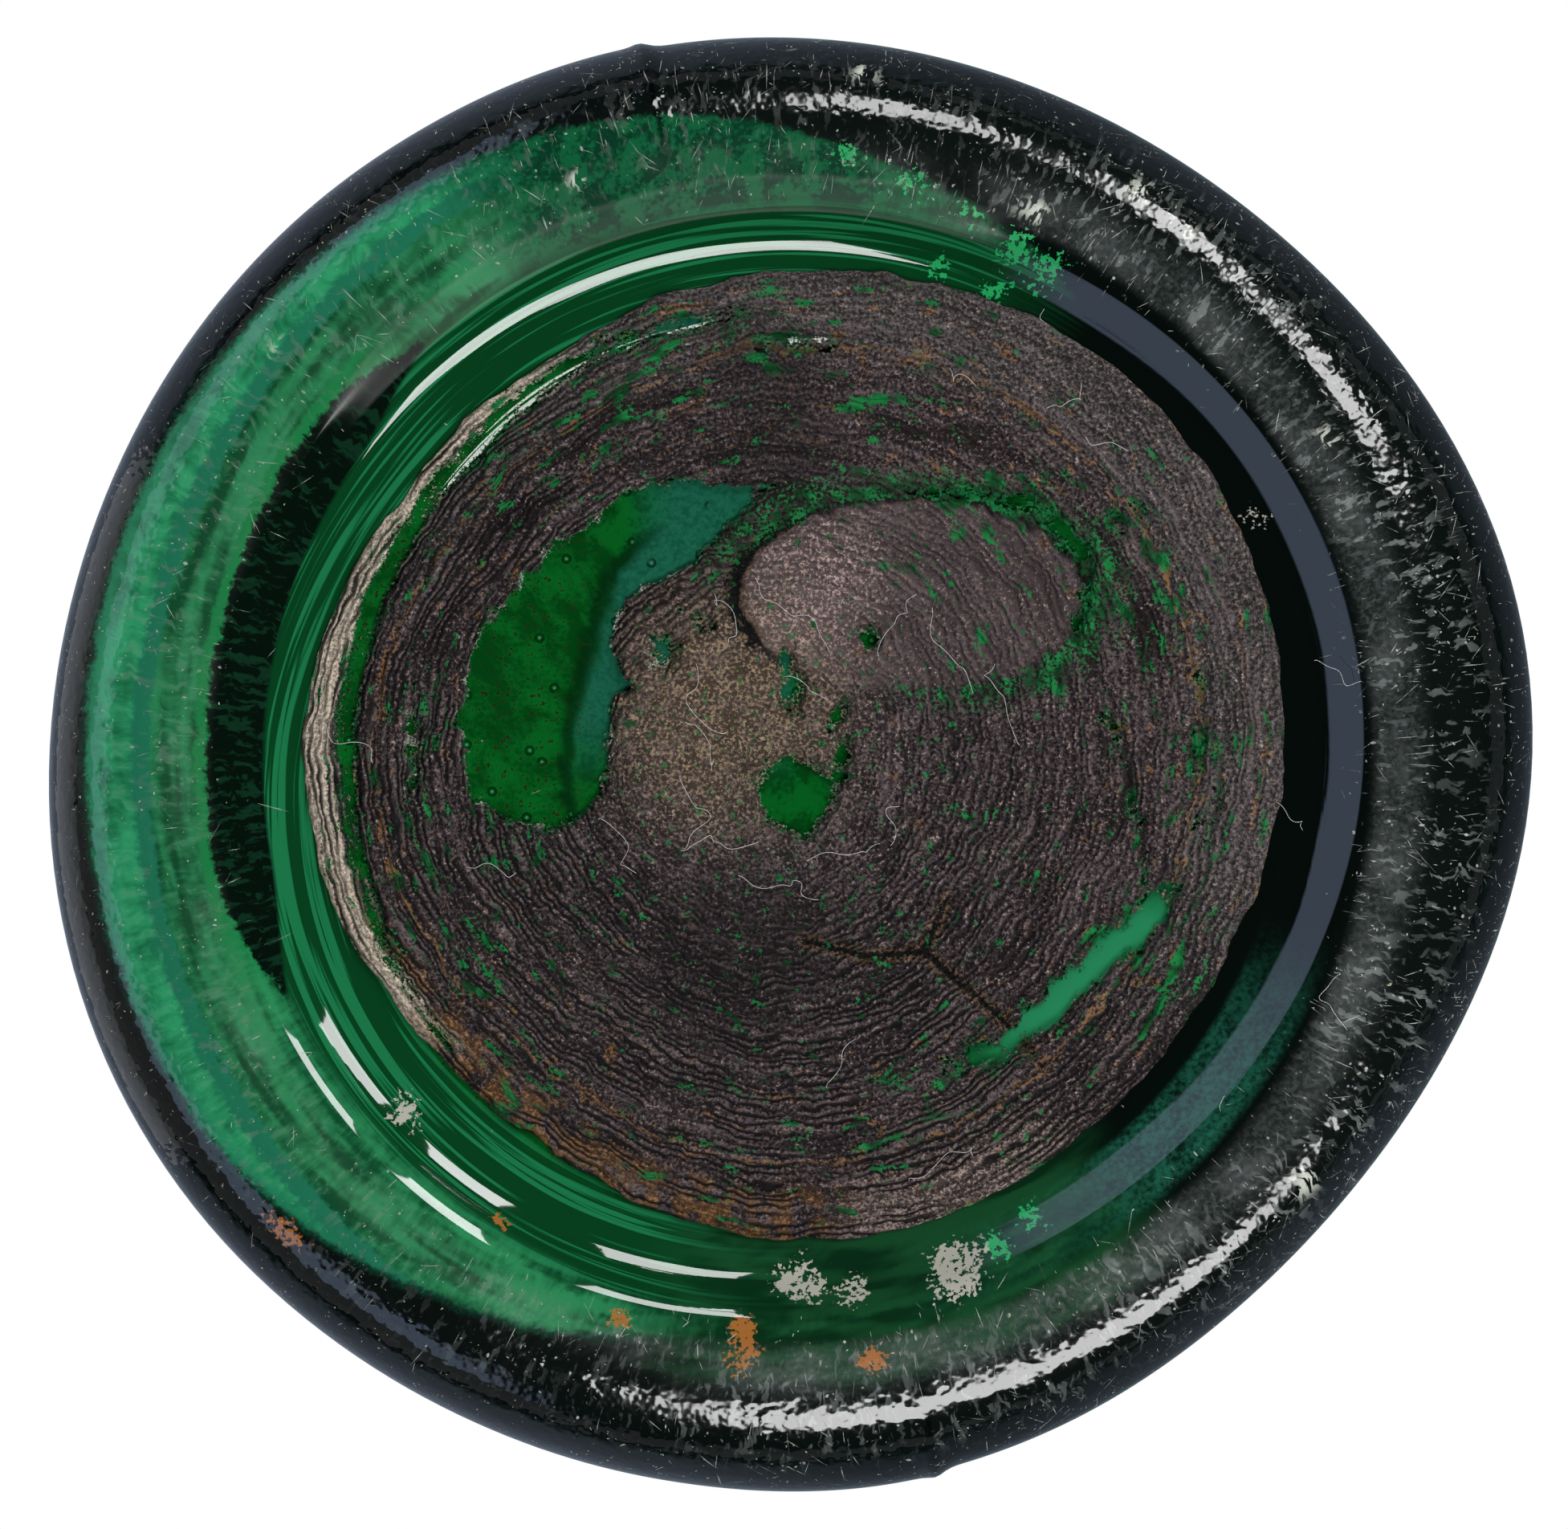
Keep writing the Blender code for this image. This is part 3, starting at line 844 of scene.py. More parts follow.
# The painted glow: dull and bright green light with a teal line, painted shade just inside its edge
# and on the unlit side, and painted light at the lens, at the top and along the rim
glow = bench.lay(
    dull,
    (jagged.step(27.6, 27.9) * lit.step(0.1, 0.35), TEAL_GLOW_LINE),
    (jagged.step(28.4, 28.75), emerald_glow),
    (depth_in.step(0.55, 0.15), OUTER_SHADE),
    (lit.step(0.15, -0.2), unlit),
    ((jagged - 25.75).step(0.2, -0.05) * lens, LENS_GLOW),
    (toward(-98.0).step(0.9, 0.97), top_glow_mix),
    (radius.step(24.6, 23.6), rim_glow),
)
# A patch of painted teal glow at the lower right, and painted green glow near the bottom
murky_glow = toward(50.0).step(0.84, 1.0) * radius.band(21.4, 21.8, 24.3, 24.9)
murky_glow = murky_glow * (coarse * 0.6 + grain * 0.4).step(0.3, 0.6)
foot = toward(78.0).step(0.86, 0.96) * jagged.step(27.4, 26.4)
# The painted coat: unlit dark glass, the painted glow, the dark lens of painted reflection, and two
# more patches of painted glow
paint = bench.lay(
    UNLIT_GLASS_BLACK,
    (depth_in.step(-0.1, 0.2), glow),
    (dark_reflection_lens, bench.mix(scuffs.step(0.5, 0.62), *LENS_DARK_REFLECTION)),
    (murky_glow * 0.9, bench.mix(grain.step(0.3, 0.7), *MURKY_GLOW)),
    (foot * 0.8, bench.mix(streak.step(0.4, 0.6), *FOOT_GLOW)),
)
print("with the glow:", len(bench.tree.nodes), "nodes")

# %% The glass that shows where the scale has flaked off
# The bare glass as painted with light through it; the fold and the seed rims are painted shade, and
# the seed centres are painted highlights
BARE_GREEN = (0.0006, 0.036, 0.004), (0.0015, 0.08, 0.01)
BARE_TEAL = (0.004, 0.06, 0.032), (0.01, 0.095, 0.055)
FOLD_SHADE, LIT_PALE_GREEN = (0.0006, 0.014, 0.003), (0.016, 0.195, 0.08)
OLIVE, SEED_SHADE, SEED_HIGHLIGHT = (0.01, 0.016, 0.003), (0.0005, 0.008, 0.002), (0.05, 0.18, 0.1)

# Plain green, painted as glass with light through it, painted shade in a fold with a painted teal
# sheen inside it, painted light where it is paler at the lower right, and seeds (gas bubbles) with
# painted shade rims and painted highlights
fold = ((px + 1.0) * (px + 1.0) + py * py) ** 0.5
fold = fold + (coarse - 0.5) * 1.2 - 8.9 - 2.2 * py.step(-3.0, -10.5)
upper_end = px.step(-7.4, -5.0) * py.step(-7.0, -9.5)
teal = (fold.step(0.1, -0.5) * py.step(1.5, -2.5) + upper_end).clamp() * px.step(0.5, -0.5)
fold_shade_mask = abs(fold).step(0.5, 0.05) * px.step(-1.0, -3.0) * (1.0 - upper_end)
seed = bench.add("ShaderNodeTexVoronoi", {"Vector": place, "Scale": 0.42},
                 voronoi_dimensions="2D")
seeded = coarse.step(0.44, 0.5)
bare_green = bench.lay(
    bench.mix((coarse + fine_grain * 0.4).step(0.4, 0.6), *BARE_GREEN),
    (teal, bench.mix(grain.step(0.25, 0.75), *BARE_TEAL)),
    (fold_shade_mask * 0.8, FOLD_SHADE),
    (lit_green_spots.clamp(), LIT_PALE_GREEN),
    (grain.step(0.6, 0.65) * px.step(-7.0, -11.0), OLIVE),
    (seed.band(0.04, 0.06, 0.08, 0.11) * seeded * 0.8, SEED_SHADE),
    (seed.step(0.03, 0.015) * seeded, SEED_HIGHLIGHT),
)
print("with the bare glass:", len(bench.tree.nodes), "nodes")

# %% Dust in radial scratches, specks, lime, rust, and painted green glints
# Painted green glints where light comes through the glass, then dust film, dust, specks, lime,
# rust, chips and the seam
GREEN_GLINT, FILM, DUST, SPECK = (
    (0.015, 0.28, 0.085), (0.06, 0.072, 0.07), (0.14, 0.16, 0.155), (0.33, 0.36, 0.26))
LIME, RUST, CHIP, SEAM_DARK = (
    (0.42, 0.4, 0.35), (0.3, 0.11, 0.025), (0.5, 0.52, 0.46), (0.0006, 0.0008, 0.0008))

dim_side = lit.step(0.0, -0.3)
dusty = scuffs.step(0.55, 0.64) * ring_zone * (0.2 + 0.8 * patchy)
mottled = 0.2 + 0.4 * patchy + 0.6 * grain.step(0.4, 0.62)
film = 0.02 + (0.05 + 0.42 * dim_side) * radius.step(28.0, 26.6) * mottled
speck = grain.step(0.7, 0.73) * radius.step(24.6, 25.6)
crumbly = grain * 0.6 + coarse * 0.5 - 0.05
green_glint_field = crumbly + fine_scuffs * 0.3 + green_glints * 0.16
seam_turn = math.radians(SEAM_ANGLE)
off_seam = (across * math.sin(seam_turn) - upward * math.cos(seam_turn)) * radius
on_seam = abs(off_seam + fine_grain * 0.6).step(0.16, 0.05) * radius.step(26.5, 28.5)


def crumbs(field, marks, low, high):
    """Ragged crumbs inside soft discs."""
    return field.step(low, high) * marks.step(0.0, 0.2)


paint = bench.lay(
    paint,
    (radius.step(20.6, 19.6), bare_green),
    # Painted green glints, in ragged crumbs
    (crumbs(green_glint_field, green_glints, 0.645, 0.665), GREEN_GLINT),
    (ring_zone * film, FILM),
    (dusty * (0.3 + 0.45 * dim_side), DUST),
    (speck * 0.8, SPECK),
    (crumbs(crumbly + lime_spots * 0.2, lime_spots, 0.625, 0.66) * 0.75, LIME),
    (crumbs(crumbly + rust_spots * 0.2, rust_spots, 0.635, 0.68) * 0.85, RUST),
    ((chips * scuffs.step(0.48, 0.54)).clamp(), CHIP),
    (on_seam * 0.9, SEAM_DARK),
)
print("with the dust:", len(bench.tree.nodes), "nodes")

# %% Glass
GLASS_IOR = 1.52
CORD_HEIGHT, DING_HEIGHT = 0.00003, 0.00005

# The coat covers the underside only, and is exactly 0 elsewhere
below = pz.step(12.0, 9.0) * radius.step(28.5, 27.5).math("MAXIMUM", pz.step(6.0, 3.0))
below = below * (1.0 - inside)

on_shelf = radius.band(18.6, 19.6, 23.6, 24.6)
dings = bench.noise(place, 1.8, 1.0) * (ring_zone + radius.step(28.5, 30.5) * 0.5)
relief = cords * on_shelf * CORD_HEIGHT + dings * DING_HEIGHT
bump = {"Strength": 1.0, "Distance": 1.0}
worn_normal = bench.add("ShaderNodeBump", {**bump, "Height": relief})
bearing = radius.band(24.6, 25.4, 26.4, 27.6)
dull_top = toward(-105.0).step(0.75, 0.9) * radius.band(23.7, 24.0, 25.0, 25.6)
worn = 0.03 + bearing * (0.1 + 0.16 * patchy) + ring_zone * (0.05 + 0.06 * patchy)

clear = principled(
    bench, WHITE, 0.02 + 0.1 * patchy * below, IOR=GLASS_IOR, Transmission_Weight=1.0)
coat = principled(bench, paint, worn + dull_top * 0.75, IOR=GLASS_IOR, Normal=worn_normal)
tinting = bench.add("ShaderNodeVolumeAbsorption", {"Color": (0.125, 0.85, 0.55), "Density": 400.0})
wear(bench, bench.add("ShaderNodeMixShader", (below, clear, coat)), Volume=tinting)
print("glass nodes:", len(bench.tree.nodes))

# %% [markdown]
# ## Scratches and specks
# Scratches are too fine for a mesh's own faces and too many to draw, so a Geometry Nodes tree lays
# slivers on the glass: points are dealt over it, more of them on the worn ring, each gets a
# pointed strip of random length and turn, and the strips are bent a little and pulled back
# onto the glass. With a length near their width the same slivers are specks of dust and pits.

# %% The sliver group
LIFT = 0.000006  # how far the slivers lie off the glass
HALF = (0.5, 0.5, 0.5)

slivers, bench, given = new_group("lay_slivers", {
    "Ring Density": 1e6, "Wall Density": 1e4, "Shortest": 0.0003, "Longest": 0.002,
    "Thinnest": 0.00002, "Widest": 0.00005, "Bend": 0.0002, "Seed": 1, "Coat": None})
glass = given["Geometry"]
spot_x, spot_y, spot_z = bench.parts(position(bench))
from_axis = (spot_x * spot_x + spot_y * spot_y) ** 0.5
outdoors = carried(bench, "inside") < 0.5
on_ring = from_axis.step(0.0235, 0.0255) * spot_z.step(0.0075, 0.0045)
clumps = bench.noise(position(bench), 350.0, 2.0, 0.5).step(0.35, 0.65) * 0.75 + 0.25
worn_side = (spot_x * 0.8 - spot_y * 0.3).step(-0.025, 0.012) * 0.75 + 0.25
on_ring_density = on_ring * given["Ring Density"] * clumps * worn_side
density = (on_ring_density + (1.0 - on_ring) * given["Wall Density"]) * outdoors
dealt = bench.add(
    "GeometryNodeDistributePointsOnFaces",
    {"Mesh": glass, "Density": density, "Seed": given["Seed"]}, "Points",
    distribute_method="RANDOM")
facing = Wire(bench, dealt.socket.node.outputs["Normal"])
dealt = store(bench, dealt, "facing", facing, "FLOAT_VECTOR")


def between(bench, low, high, seed):
    """A random number for each point."""
    values = {"Min": low, "Max": high, "Seed": seed}
    return bench.add("FunctionNodeRandomValue", values, "Value", data_type="FLOAT")


def curl(bench, scale):
    """Noise that bends a line: a vector round zero at each place."""
    noise_here = bench.noise(position(bench), scale, 1.0, 0.5, "Color")
    return bench.vector("SUBTRACT", noise_here, HALF)


# Most lie along the radius, because the bottle was pushed and turned about on its ring
here_x, here_y, _ = bench.parts(position(bench))
slant = between(bench, -1.0, 1.0, 11) ** 3.0 * 1.5
way_out = bench.join(here_x - slant * here_y, here_y + slant * here_x, 0.0)
align = "FunctionNodeAlignRotationToVector"
upright = bench.add(align, {"Vector": facing}, axis="Z")
heading = bench.add(align, {"Rotation": upright, "Vector": way_out}, axis="X", pivot_axis="Z")
longer = between(bench, 0.0, 1.0, 12) ** 2.5
wider = between(bench, 0.0, 1.0, 13) ** 2.0
length = given["Shortest"] + (given["Longest"] - given["Shortest"]) * longer
width = given["Thinnest"] + (given["Widest"] - given["Thinnest"]) * wider
strip = bench.add("GeometryNodeMeshGrid", {
    "Size X": 1.0, "Size Y": 1.0, "Vertices X": 5, "Vertices Y": 2})
strip_x, strip_y, _ = bench.parts(position(bench))
pointed = bench.join(strip_x, strip_y * (1.05 - 4.0 * strip_x * strip_x), 0.0)
strip = move(bench, strip, Position=pointed)
laid = bench.add("GeometryNodeInstanceOnPoints", {
    "Points": dealt, "Instance": strip, "Rotation": heading,
    "Scale": bench.join(length, width, 1.0)})
laid = bench.add("GeometryNodeRealizeInstances", {"Geometry": laid})
laid = move(bench, laid, Offset=bench.vector("SCALE", curl(bench, 500.0), given["Bend"]))
nearest = bench.add("GeometryNodeProximity", (glass,), "Position", target_element="FACES")
lift = bench.vector("SCALE", carried(bench, "facing", "FLOAT_VECTOR"), LIFT)
laid = move(bench, laid, Position=bench.vector("ADD", nearest, lift))
end_group(bench, laid, given["Coat"])
print("sliver group:", len(slivers.nodes), "nodes")

# %% Scratches and specks on the glass
scuff, bench = new_material("scuffed_glass")
fade = bench.noise(millimetres(bench), 1.4)
scuff_colour = bench.mix(fade, (0.14, 0.16, 0.15), (0.52, 0.52, 0.48))
wear(bench, principled(bench, scuff_colour, 0.6, Alpha=fade.step(0.34, 0.66) * 0.75))

SLIVERS = {
    "scratches": {"Ring Density": 2.6e6, "Wall Density": 1.2e4, "Shortest": 0.0002,
                  "Longest": 0.0017, "Thinnest": 0.000016, "Widest": 0.000042, "Seed": 3},
    "specks": {"Ring Density": 1.8e6, "Wall Density": 2.0e4, "Shortest": 0.00006,
               "Longest": 0.0003, "Thinnest": 0.00004, "Widest": 0.00016, "Bend": 0.0, "Seed": 8},
}
for name, values in SLIVERS.items():
    made = run_group(put(name, bottle.data), slivers, name, {**values, "Coat": scuff})
    made.visible_shadow = made.visible_diffuse = False
    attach(made, "root")
    print(name + ":", len(made.data.polygons), "faces")
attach(bottle, "root")
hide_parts("glass_bottle")

# %% [markdown]
# ## The iron crust
# The hot iron rod left a skin of scale in the push-up. It wrinkled in rings as it was drawn off,
# so its mesh is drawn in the same rings: from the middle of the wrinkles out to its ragged edge.
# Each vertex carries its place among the rings, and how far it is from the nearest bare
# patch. The shader cuts the patches along that distance, roughened by noise, because their
# edges are finer than any mesh.

# %% Where the scale has flaked off
CRUST_EDGE = 20.92
EDGE_WAVES = ((1, 0.685, -46.6), (2, 0.333, -33.5), (3, 0.38, -49.5), (4, 0.228, -2.3),
              (5, 0.081, 26.4))
WRINKLE_CENTRE = (-2.1, 0.05)

# The big crescent: bearing round its centre, inner and outer radius
CRESCENT_CENTRE = (-1.0, 0.0)
CRESCENT = ((163.5, 8.6, 10.3), (168, 7.7, 11.7), (173, 7.0, 13.0), (188, 7.0, 13.6),
            (203, 7.3, 13.7), (208, 6.8, 13.6), (213, 8.0, 13.4), (229, 9.4, 13.1),
            (242, 9.2, 13.3), (252, 9.4, 12.95), (264, 10.9, 12.1), (270, 11.8, 11.95))
# Ovals: x, y, half length, half width, bearing of the length
OVALS = ((0.2, 1.5, 1.75, 1.55, 60), (2.1, 0.1, 1.0, 0.28, 100), (0.0, -3.5, 1.05, 0.5, 80),
         (2.1, -2.1, 0.55, 0.25, 110), (3.3, -5.6, 0.45, 0.32, 60), (-5.6, -4.7, 0.7, 0.45, 100),
         (-4.1, -6.1, 0.45, 0.22, 20), (8.3, 12.9, 1.3, 0.5, 160), (-16.5, -0.3, 1.4, 0.22, 90),
         (17.7, -0.8, 1.6, 0.2, 92), (18.25, 2.5, 0.7, 0.18, 100), (14.2, -10.6, 0.45, 0.2, 60),
         (15.1, -10.9, 0.4, 0.25, 60), (-5.0, -18.9, 2.6, 0.3, 168), (0.2, -18.2, 1.2, 0.22, 0))
# Bands: points along them, each with its half width
BANDS = (
    ((16.4, 5.7, 0.35), (15.2, 7.2, 0.7), (13.2, 8.8, 0.6), (11.4, 10.6, 0.65), (9.6, 12.1, 0.35)),
    ((-14.9, 12.4, 0.1), (-17.6, 8.4, 0.25), (-19.2, 3.0, 0.34), (-19.4, -2.0, 0.4),
     (-18.2, -7.0, 0.45), (-15.8, -11.4, 0.42), (-12.6, -14.9, 0.4), (-9.6, -17.2, 0.35),
     (-6.6, -18.2, 0.15)),
    ((13.5, -3.5, 0.03), (14.6, 0.4, 0.07), (15.1, 2.9, 0.05), (15.3, 5.0, 0.03)),
    ((4.0, -11.9, 0.04), (8.0, -11.7, 0.14), (10.7, -11.1, 0.3), (12.6, -9.2, 0.42),
     (12.9, -7.6, 0.12), (12.4, -5.9, 0.16)),
)
# Cracks in the scale, which let no green through, in the same form
CRACKS = (
    ((6.8, 6.0, 0.05), (5.8, 8.3, 0.08), (9.3, 11.3, 0.06), (11.1, 13.4, 0.05)),
    ((0.5, 7.8, 0.03), (3.2, 8.5, 0.05), (5.8, 8.3, 0.05)),
    ((-0.2, -10.3, 0.04), (-1.6, -9.4, 0.08), (-2.4, -8.0, 0.09), (-2.4, -6.6, 0.08),
     (-1.5, -5.4, 0.04)),
)


def from_band(x, y, line):
    """Distance outside a line of points whose half width changes along it."""
    best = np.full(x.shape, 99.0)
    for (ax, ay, aw), (bx, by, bw) in zip(line, line[1:]):
        run_x, run_y = bx - ax, by - ay
        t = ((x - ax) * run_x + (y - ay) * run_y) / (run_x ** 2 + run_y ** 2)
        t = np.clip(t, 0.0, 1.0)
        off = np.hypot(x - ax - t * run_x, y - ay - t * run_y) - (aw + t * (bw - aw))
        best = np.minimum(best, off)
    return best


def from_oval(x, y, cx, cy, half_length, half_width, bearing):
    turn = math.radians(bearing)
    along_it = ((x - cx) * math.cos(turn) + (y - cy) * math.sin(turn)) / half_length
    across_it = ((y - cy) * math.cos(turn) - (x - cx) * math.sin(turn)) / half_width
    return (np.hypot(along_it, across_it) - 1.0) * half_width


def from_crescent(x, y):
    off_x, off_y = x - CRESCENT_CENTRE[0], y - CRESCENT_CENTRE[1]
    far, bearing = np.hypot(off_x, off_y), np.degrees(np.arctan2(off_y, off_x)) % 360
    bearings, inner, outer = np.array(CRESCENT, float).T
    past_inner = np.interp(bearing, bearings, inner) - far
    past_outer = far - np.interp(bearing, bearings, outer)
    ends = np.maximum(bearings[0] - bearing, bearing - bearings[-1]) * math.pi / 180 * far
    return np.maximum(np.maximum(past_inner, past_outer), ends)


def from_bare(x, y):
    """Distance to the nearest bare patch, in millimetres; below 0 inside one."""
    ovals = [from_oval(x, y, *oval) for oval in OVALS]
    bands = [from_band(x, y, band) for band in BANDS]
    return np.minimum.reduce([from_crescent(x, y)] + ovals + bands)


print("bare patches:", 1 + len(OVALS) + len(BANDS))

# %% The places of the crust's vertices
RINGS, SPOKES = 118, 360
CRUST_DEPTH, CRUST_SKIN = 0.42, 0.08
RAGGED_EDGE, LUMPS, CRACK_DEPTH = 0.3, 0.1, 0.16
ROLL_WIDTH = 0.5  # mm over which the scale rounds off toward its edge


def fractal(places, gain, octaves):
    """Fractal noise round 0 at each place."""
    return np.array([noise.fractal(Vector(place), gain, 2.0, octaves) for place in places])


turns = np.linspace(0.0, math.tau, SPOKES, endpoint=False)
edge = CRUST_EDGE + waves(EDGE_WAVES, turns, np.cos)
edge_places = [(math.cos(turn) * 5, math.sin(turn) * 5, 3.0) for turn in turns]
edge = edge + RAGGED_EDGE * fractal(edge_places, 0.7, 4)
shares = np.linspace(0.0, 1.0, RINGS + 1)[1:]
outline = np.stack([edge * np.cos(turns), edge * np.sin(turns)], 1)
centre = np.array(WRINKLE_CENTRE)
rings = (centre + shares[:, None, None] * (outline - centre)[None]).reshape(-1, 2)
crust_x, crust_y = np.concatenate([[centre], rings]).T
share = np.concatenate([[0.0], np.repeat(shares, SPOKES)])
spoke = np.concatenate([[0.0], np.tile(turns, RINGS)])
bare = from_bare(crust_x, crust_y)
crack = np.minimum.reduce([from_band(crust_x, crust_y, line) for line in CRACKS])

dimple_x = (crust_x - DIMPLE["x"]) / DIMPLE["half_length"]
dimple_y = (crust_y - DIMPLE["y"]) / DIMPLE["half_width"]
dimple = DIMPLE["depth"] * (1 - smooth_step(np.hypot(dimple_x, dimple_y)))
crust_r = np.hypot(crust_x, crust_y)
rim_wave = waves(RIM_WAVES, np.arctan2(crust_y, crust_x), np.cos)
crust_r = crust_r - rim_wave * smooth_step((crust_r - 19.5) / 2.5)
glass_z = push_up(crust_r) + dimple
lumps = fractal([(x * 0.35, y * 0.35, 1.0) for x, y in zip(crust_x, crust_y)], 0.8, 3)
to_edge = (1.0 - share) * crust_r.clip(18.0)
roll = np.sqrt(1 - (1 - np.clip(to_edge / ROLL_WIDTH, 0.0, 1.0)) ** 2)
roll = roll * (0.25 + 0.75 * smooth_step((bare + 0.15) / 0.5))
sunk = CRACK_DEPTH * np.exp(-(np.maximum(crack, 0) / 0.15) ** 2)
depth = CRUST_SKIN + (CRUST_DEPTH + LUMPS * lumps) * roll - sunk
lower_z = glass_z - np.maximum(depth, CRUST_SKIN + 0.02)
upper_z = glass_z - CRUST_SKIN
print("scale:", round(float((upper_z - lower_z).max()), 2), "mm thick at most")


# %% The crust's mesh
def sheet(first, rings, flip):
    """Faces of a polar sheet whose middle vertex is `first`."""
    faces = []
    for here in range(SPOKES):
        after = (here + 1) % SPOKES
        faces.append((first, first + 1 + here, first + 1 + after))
        for ring in range(rings - 1):
            near, far = first + 1 + ring * SPOKES, first + 1 + (ring + 1) * SPOKES
            faces.append((near + here, far + here, far + after, near + after))
    return [face[::-1] for face in faces] if flip else faces


# The upper face is only seen through the bare patches, so it has a quarter of the rings
upper_rings = [ring for ring in range(RINGS) if ring % 4 == 1 or ring == RINGS - 1]
chosen = np.concatenate([[0]] + [1 + ring * SPOKES + np.arange(SPOKES) for ring in upper_rings])
count = len(crust_x)
lower, upper = (np.stack([crust_x, crust_y, level], 1) for level in (lower_z, upper_z))
faces = sheet(0, RINGS, True) + sheet(count, len(upper_rings), False)
low_rim, high_rim = 1 + (RINGS - 1) * SPOKES, count + 1 + (len(upper_rings) - 1) * SPOKES
for here in range(SPOKES):
    after = (here + 1) % SPOKES
    faces.append((high_rim + here, high_rim + after, low_rim + after, low_rim + here))
crust_mesh = bpy.data.meshes.new("iron_crust")
crust_mesh.from_pydata((np.concatenate([lower, upper[chosen]]) * MM).tolist(), [], faces)
crust_mesh.shade_smooth()
crust = put("iron_crust", crust_mesh)
print("iron_crust:", len(crust_mesh.vertices), "vertices,", triangles(crust_mesh), "triangles")

# %% What the crust carries
# Soft discs: the first three kinds are painted sheen where the scale faces the lamps, the fourth
# painted shade, and the last where flecks of green glass show
SHEEN_SHADE_AND_FLECK_SPOTS = {
    "golden_sheen": ((-3.0, -2.4, 8.0),), "pink_sheen": ((0.9, -8.0, 4.6),),
    "pale": ((9.0, 17.4, 4.6), (4.5, 19.5, 3.4)),
    "shadow": ((-2.0, 8.0, 6.5), (0.0, -13.5, 4.0), (-1.5, -17.0, 3.4)),
    "flecked": ((15.6, 8.8, 4.8), (-7.2, -16.5, 4.6), (-12.1, -13.7, 3.2), (-15.0, -2.4, 2.6),
                (-12.1, 3.8, 3.2), (14.6, -8.7, 3.6), (8.6, -11.2, 3.8), (17.7, 0.0, 3.0),
                (-0.9, -18.9, 3.0), (3.3, -15.4, 2.6), (5.8, 14.1, 2.2), (3.3, 16.2, 2.0),
                (-12.8, 14.8, 3.0), (-16.6, 3.6, 3.0), (-13.5, 9.0, 3.0), (-17.0, -9.0, 2.4),
                (16.8, -6.0, 3.0)),
}


def pattern(columns, octaves, seed):
    """Fractal noise round 0.5 at each vertex of the crust."""
    places = np.stack(np.broadcast_arrays(*columns), 1).tolist()
    away = Vector((seed, seed, seed))
    return 0.5 + 0.24 * fractal([Vector(place) + away for place in places], 0.8, octaves)


def flat_pattern(scale, octaves, seed):
    return pattern((crust_x * scale, crust_y * scale, 0.0), octaves, seed)


def ring_pattern(scale, around, octaves, seed):
    """Streaks along the rings."""
    columns = (ripple * scale, np.cos(spoke) * around, np.sin(spoke) * around)
    return pattern(columns, octaves, seed)


crinkle = flat_pattern(1.5, 2, 3.0)
ripple = share * CRUST_EDGE + (flat_pattern(0.3, 1, 7.0) - 0.5) * 1.0 + (crinkle - 0.5) * 0.22
# The edges of the bare patches are ragged, but little where the scale is only a narrow rim
ragged = (flat_pattern(1.0, 4, 11.0) - 0.5) * np.interp(crust_r, (18.0, 19.0), (1.7, 0.7))
finer = (flat_pattern(2.2, 2, 21.0) - 0.5) * np.interp(crust_r, (17.0, 18.5), (1.1, 0.2))
fields = {
    "bare": bare + ragged + finer, "crack": crack, "ripple": ripple,
    "across": np.cos(spoke), "upward": np.sin(spoke), "crinkle": crinkle,
    "coarse": flat_pattern(1.2, 3, 5.0),
    "broad": ring_pattern(1.3, 4.0, 2, 9.0), "rusty": ring_pattern(1.1, 5.0, 3, 2.0),
}
sheen_shade_and_flecks = {title: spots(crust_x, crust_y, marks) for title, marks in SHEEN_SHADE_AND_FLECK_SPOTS.items()}
carry(crust_mesh, {title: np.concatenate([numbers, numbers[chosen]])
                   for title, numbers in {**fields, **sheen_shade_and_flecks}.items()})
print("crust carries:", ", ".join([*fields, *sheen_shade_and_flecks]))

# %% [markdown]
# ## The crust's finish
# Iron scale is dark and granular. Fine wrinkles and grains are bump, because they are thinner than
# the mesh; rust gathers in some of the rings. Glints of tiny broken faces, sheen where the scale
# faces the lamps, and shade in the wrinkle grooves, in the dimple's fold and in patches that face
# away from the lamps are painted into the colour. Colours are those of the scale under full light,
# so they are very dark.

# %% Wrinkles of the crust, with painted shade in their grooves
WRINKLES = 17.6  # radians to the millimetre, so they are 0.36 mm apart

iron, bench = new_material("iron_oxide")
place = millimetres(bench)
px, py, _ = bench.parts(place)
bare_far, crack_far, ripple, across, upward, crinkle, coarse, broad, rusty = read(
    bench, *fields)
golden_sheen, pink_sheen, pale, shadow, flecked = read(bench, *sheen_shade_and_flecks)
grain = bench.noise(place, 6.5, 2.0, 0.7)
fine_grain, crinkling = grain - 0.5, crinkle - 0.5
# Grain tops: painted glints where tiny broken faces would catch the lamps, and smoother there
painted_glint = grain.step(0.61, 0.67)

# The pontil's dimple is a smoother oval, painted lit at its left end and bordered by painted shade
# in its fold
lobe_far = (((px - 5.1) / 7.7) ** 2.0 + ((py + 7.3) / 4.2) ** 2.0) ** 0.5
lobe_far = lobe_far + crinkling * 0.25 + fine_grain * 0.1
lobe = lobe_far.step(1.06, 0.9)
lobe_side = (py.step(-6.0, -8.5) * 0.8 + px.step(0.5, -1.5)).clamp()
lobe_fold_shade = abs(lobe_far - 1.0).step(0.05, 0.01) * lobe_side

# A sine of the place among the rings, pushed along by slow noise
wave = (ripple * WRINKLES + broad * 22.0 + crinkle * 8.0 + grain * 2.5).math("SINE")
